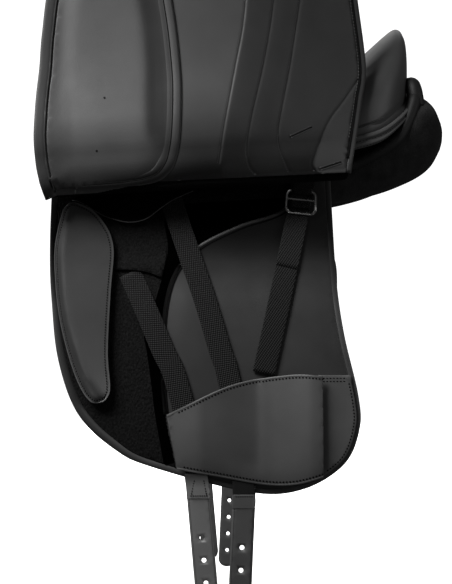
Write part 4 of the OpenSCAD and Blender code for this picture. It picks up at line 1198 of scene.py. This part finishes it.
SEAT_ROWS = spline([(-186, 62, 128, 158), (-165, 86, 112, 172), (-125, 108, 92, 160), (-60, 120, 76, 128),
                    (0, 130, 66, 110), (60, 140, 57, 108), (120, 150, 50, 122), (168, 150, 62, 150),
                    (203, 138, 82, 182), (225, 116, 102, 202), (237, 90, 116, 211), (243, 56, 138, 209)], 6)
TREE_ROWS = spline([(-160, 96, 42), (-120, 102, 42), (-60, 106, 40), (0, 121, 34), (60, 120, 34),
                    (120, 116, 40), (168, 110, 66), (206, 98, 92)], 6)
SEAT_POWER, COVER_T, COVER_GAP = 0.7, 2.5, 0.9
FOAM_DROP, FOAM_GAP, FOAM_LEAST, FOAM_END = 31.1, 1.3, 2, 216
ANGLES = np.radians(np.concatenate([np.linspace(0, 30, 13)[:-1], np.linspace(30, 150, 33),
                                    np.linspace(150, 180, 13)[1:]]))
SEAT_SEAM, SEAM_DEPTH, SEAM_W, SEAM_END, SEAM_FADE = np.radians(38), 1.6, 0.035, 230, 40
POMMEL_STEPS = (3.3, 2.6, 0.3)
CANTLE_STEPS = ((1, 0.3), (1, 2.2), (0.93, 4.2), (0.75, 5.6), (0.4, 6.4), (0.1, 6.6))


def row_at(rows, x):
    return np.array([np.interp(x, rows[:, 0], rows[:, k]) for k in range(rows.shape[1])])


def arch(x, w, low, high, power):
    rise = np.maximum(0, np.sin(ANGLES)) ** power
    return np.stack([np.full(len(ANGLES), x), -w * np.cos(ANGLES), low + (high - low) * rise], 1)


def seat_grid(d):
    """The seat's surface, or one that lies deeper by d and has no seams."""
    seam = SEAM_DEPTH * (bump(ANGLES - SEAT_SEAM, SEAM_W) + bump(ANGLES - math.pi + SEAT_SEAM, SEAM_W))
    rows = []
    for x, w, low, high in SEAT_ROWS:
        line = arch(x, w - d, low, high - d, SEAT_POWER)
        line[:, 2] -= seam * np.clip((SEAM_END - x) / SEAM_FADE, 0, 1) * (d == 0)
        rows.append(line)
    return np.array(rows)


def over_tree():
    """The filling's underside, which lies over the tree."""
    rows = []
    for x, _, low, high in SEAT_ROWS:
        _, tree_w, tree_low = row_at(TREE_ROWS, x)
        edge = max(low, tree_low)
        top = max(high - FOAM_DROP + FOAM_GAP, edge + FOAM_LEAST)
        rise = min(0.98, (edge - tree_low) / (top - tree_low))
        rows.append(arch(x, (tree_w + FOAM_GAP) * math.sqrt(1 - rise * rise), edge, top, 1))
    return np.array(rows)


def seat():
    cover, under = seat_grid(0), over_tree()
    skin = add("seat_skin", shell(cover, COVER_T), None, "seat_leather", nodes=["seat_cover"])
    rings = np.concatenate([seat_grid(COVER_T + COVER_GAP), under[:, ::-1]], 1)[SEAT_ROWS[:, 0] < FOAM_END]
    foam = add("seat_filling", tube(rings), None, "foam", nodes=["seat_foam"])
    front = np.concatenate([cover[0], under[0][::-1]])
    add("pommel_skin", tube(np.stack([front - (step, 0, 0) for step in POMMEL_STEPS])), None,
        "seat_leather", nodes=["pommel_facing"])
    last = cover[-1]
    middle = last.mean(0)
    rings = [middle + (last - middle) * k + (step, 0, 0) for k, step in CANTLE_STEPS]
    add("cantle_skin", tube(np.array(rings)), None, "seat_leather", nodes=["cantle_back"])


# Trim along the seat's rear edge

PIPING = [(70, -141.5, 62), (120, -152, 58), (150, -152, 66), (175.6, -150.5, 75.3), (199.7, -141, 85),
          (219, -124, 97.4), (236, -98, 112), (243, -84, 119)]
BAND_LINE = [(90, -148, 46), (120, -153.5, 48), (140, -153.5, 50), (172, -152.5, 57), (200, -143, 66),
             (224, -125, 84), (240, -107, 102), (247, -95, 115)]
PANEL_RIM = [(150, -128, 26), (171.5, -127, 33.6), (200.7, -127, 48.7), (224, -124, 65), (238, -117, 86),
             (247, -109, 106), (250, -102, 115)]
ROLL_LINE = [(250, -101, 104), (248.5, -98.5, 117), (247, -95, 127), (246, -87, 132), (246, -66, 134),
             (247, -33, 135), (247, 0, 135)]
BAND_COUNT = 60
# Out and up from the band's line, and the band's size beside its share of the length
BAND_SECTION = ((0.2, 8.0), (2.8, 7.0), (3.6, 4.6), (2.8, 1.6), (1.2, 0.4), (2.8, -0.8), (3.8, -3.8),
                (2.4, -7.4), (-1.0, -8.2), (-4.5, -6.0), (-3.5, 4.0))
BAND_SEAMS = ((2.9, 0.4), (3.2, -6.6))
BAND_SIZE = [(0, 1), (0.6, 0.95), (1, 0.5)]


def along(points, out=0.0, lift=0.0):
    """A line beside the seat, moved out from the near side and up."""
    path = evenly(spline(points, 6), BAND_COUNT)
    n = left_of(path[:, :2])
    shift = np.broadcast_to(np.asarray(lift, float), (BAND_COUNT,))
    return path + np.stack([-n[:, 0] * out, -n[:, 1] * out, shift], 1)


def seat_trim():
    both = ((1, 1, 1), (1, -1, 1))
    trim("seat_piping", [rope(along(PIPING, 0.6) * flip, 1.2) for flip in both], None, "binding",
         nodes=["seat_welt"])
    trim("cantle_roll", [rope(along(ROLL_LINE) * flip, 9.5, 16) for flip in both], None, "rim_leather",
         slot="binding")


def rear_band(side):
    size = table(BAND_SIZE, np.linspace(0, 1, BAND_COUNT))
    rows = [along(BAND_LINE, o, z * size) for o, z in BAND_SECTION]
    add("band", tube(np.stack(rows, 1)), side, "seat_leather", nodes=["rear_band"], slot="binding")
    lip = [along(PIPING, -0.2, 1.0), along(PIPING, 0.6, -1.0), along(BAND_LINE, 1.2, 6 * size),
           along(BAND_LINE, -2.0, 5 * size), along(PIPING, -3.0, -1.0)]
    add("seat_lip", tube(np.stack(lip, 1)), side, "seat_leather")
    trim("band_thread", [dashes(along(BAND_LINE, o, z * size)) for o, z in BAND_SEAMS], side, "thread",
         slot="binding")
    add("panel_rim", rope(along(PANEL_RIM, -3.0), 7.5, 16), side, "rim_leather", slot="panel_suede")


# Skirts and panels

SKIRT_FRONT, SKIRT_REAR, SKIRT_Y, SKIRT_T = -140, 60, -157, 3.0
SKIRT_OUT, SKIRT_UP, SKIRT_SWELL = 3.6, 4, 1.5
# X, middle Y and Z, half width, half height and tilt
PANEL_ROWS = spline([(-158, -107, 10, 34, 12, 25), (-146, -94, 13, 46, 19, 25), (-60, -89, 15, 51, 22, 26),
                     (40, -88, 15, 52, 23, 26), (120, -87, 18, 52, 23, 24), (170, -82, 27, 48, 29, 20),
                     (212, -78, 46, 46, 40, 18), (250, -73, 69, 42, 49, 14), (271, -70, 73, 32, 38, 12),
                     (283, -68, 73, 17, 18, 12)], 6)
PANEL_SIDES, PANEL_POWER = 44, 0.75
# Step along X and share of the size at the rounded ends
PANEL_ENDS = ((-3, 0.7), (2.5, 0.6))


def skirt(side):
    t = np.linspace(0, 1, 20)
    grid = []
    for x in np.linspace(SKIRT_FRONT, SKIRT_REAR, 51):
        _, w, edge, _ = row_at(SEAT_ROWS, x)
        top_y, top_z, low_z = -w - SKIRT_OUT, edge + SKIRT_UP, 30 + 0.0022 * (x + 40) ** 2
        y = top_y + (SKIRT_Y - top_y) * t - SKIRT_SWELL * np.sin(math.pi * t)
        grid.append(np.stack([np.full(len(t), x), y, top_z + (low_z - top_z) * t], 1))
    add("skirt_skin", shell(np.array(grid), SKIRT_T), side, "flap_leather", nodes=["skirt"])


def panel_ring(row):
    x, yc, zc, a, b, tilt = row
    p, q = np.transpose(oval(a, b, PANEL_SIDES, PANEL_POWER))
    c, s = math.cos(math.radians(tilt)), math.sin(math.radians(tilt))
    return np.stack([np.full(PANEL_SIDES, x), yc - p * c - q * s, zc - p * s + q * c], 1)


def panel(side):
    first, last = (row * (1, 1, 1, k, k, 1) + (step, 0, 0, 0, 0, 0)
                   for row, (step, k) in zip(PANEL_ROWS[[0, -1]], PANEL_ENDS))
    rings = np.array([panel_ring(row) for row in (first, *PANEL_ROWS, last)])
    pad = add("panel_pad", tube(rings), side, "panel_suede", nodes=["panel"])


# Building both sides

for side in (NEAR, FAR):
    sweat_flap(side)
    thigh_block(side)
    straps(side)
    slide_buckle(side)
    pocket(side)
    for point in (("front", FRONT_FOLD, FRONT_LEAN), ("rear", MIDDLE_FOLD, MIDDLE_LEAN)):
        girth_point(side, *point)
        point_root(side, *point)
    flap(side)
    fold(side)
    skirt(side)
    rear_band(side)
    panel(side)
seat()
seat_trim()

SOLID_LOOKS = {"tree": "tree_plastic", "gullet_plate": "steel", "gullet_screws": "steel",
               "bar_rivets": "steel", "catch_pins": "steel", "stirrup_bar": "steel", "bar_catch": "steel",
               "hook_pad": "loop_fabric"}
for name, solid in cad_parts.items():
    look = SOLID_LOOKS.get(name.replace("_" + NEAR, "").replace("_" + FAR, ""))
    if look:
        for place in solid.material_slots:
            place.link = "OBJECT"
            place.material = M[look]


# Stage, light and camera, in metres and watts

FLOOR_Z, FLOOR_R, FLOOR_WHITE = -0.62, 2.2, (0.92, 0.92, 0.92, 1)
LIT_WORLD, SEEN_WORLD = 0.07, 1.25
bpy.ops.mesh.primitive_circle_add(vertices=96, radius=FLOOR_R, fill_type="NGON", location=(0, 0, FLOOR_Z))
floor = bpy.context.object
floor.name = "floor"
floor.data.materials.append(Look("floor_paper").finish(Base_Color=FLOOR_WHITE, Roughness=0.9))
floor.visible_diffuse = floor.visible_glossy = False

world = bpy.data.worlds.new("studio")
bpy.context.scene.world = world
world.use_nodes = True
w_nodes, w_links = world.node_tree.nodes, world.node_tree.links
pick = w_nodes.new("ShaderNodeMixShader")
w_links.new(w_nodes.new("ShaderNodeLightPath").outputs["Is Camera Ray"], pick.inputs[0])
backgrounds = (w_nodes["Background"], LIT_WORLD), (w_nodes.new("ShaderNodeBackground"), SEEN_WORLD)
for k, (background, strength) in enumerate(backgrounds):
    background.inputs["Color"].default_value = (1, 1, 1, 1)
    background.inputs["Strength"].default_value = strength
    w_links.new(background.outputs[0], pick.inputs[1 + k])
w_links.new(pick.outputs[0], w_nodes["World Output"].inputs["Surface"])


def softbox(name, at, aim, size, watts):
    lamp = bpy.data.lights.new(name, "AREA")
    lamp.shape = "RECTANGLE"
    lamp.size, lamp.size_y = size
    lamp.energy = watts
    obj = bpy.data.objects.new(name, lamp)
    obj.location = at
    obj.visible_camera = False
    obj.rotation_euler = (Vector(aim) - Vector(at)).to_track_quat("-Z", "Y").to_euler()
    bpy.context.scene.collection.objects.link(obj)


CENTRE = (0.0, -0.2, -0.05)
softbox("key", (-1.0, -0.9, 1.41), CENTRE, (0.9, 0.9), 60)
softbox("side", (2.0, -0.9, 0.5), CENTRE, (0.8, 1.6), 6)
softbox("back", (0.3, 2.2, 1.6), CENTRE, (2.0, 1.4), 10)
softbox("wash", (0.0, 1.3, -0.2), (0.0, 1.3, FLOOR_Z), (3.6, 1.8), 60)

camera = bpy.data.objects.new("camera", bpy.data.cameras.new("camera"))
camera.data.sensor_width = 36
camera.data.lens = 67.3
camera.data.clip_start, camera.data.clip_end = 0.1, 60
TARGET, REACH = Vector((0.021, -0.200, -0.112)), 1.2
AZIMUTH, ELEVATION = math.radians(-1.3), math.radians(2)
away = Vector((math.sin(AZIMUTH) * math.cos(ELEVATION), -math.cos(AZIMUTH) * math.cos(ELEVATION),
               math.sin(ELEVATION)))
camera.location = TARGET + REACH * away
camera.rotation_euler = (-away).to_track_quat("-Z", "Y").to_euler()
bpy.context.scene.collection.objects.link(camera)
bpy.context.scene.camera = camera

bpy.context.scene.view_settings.view_transform = "Standard"
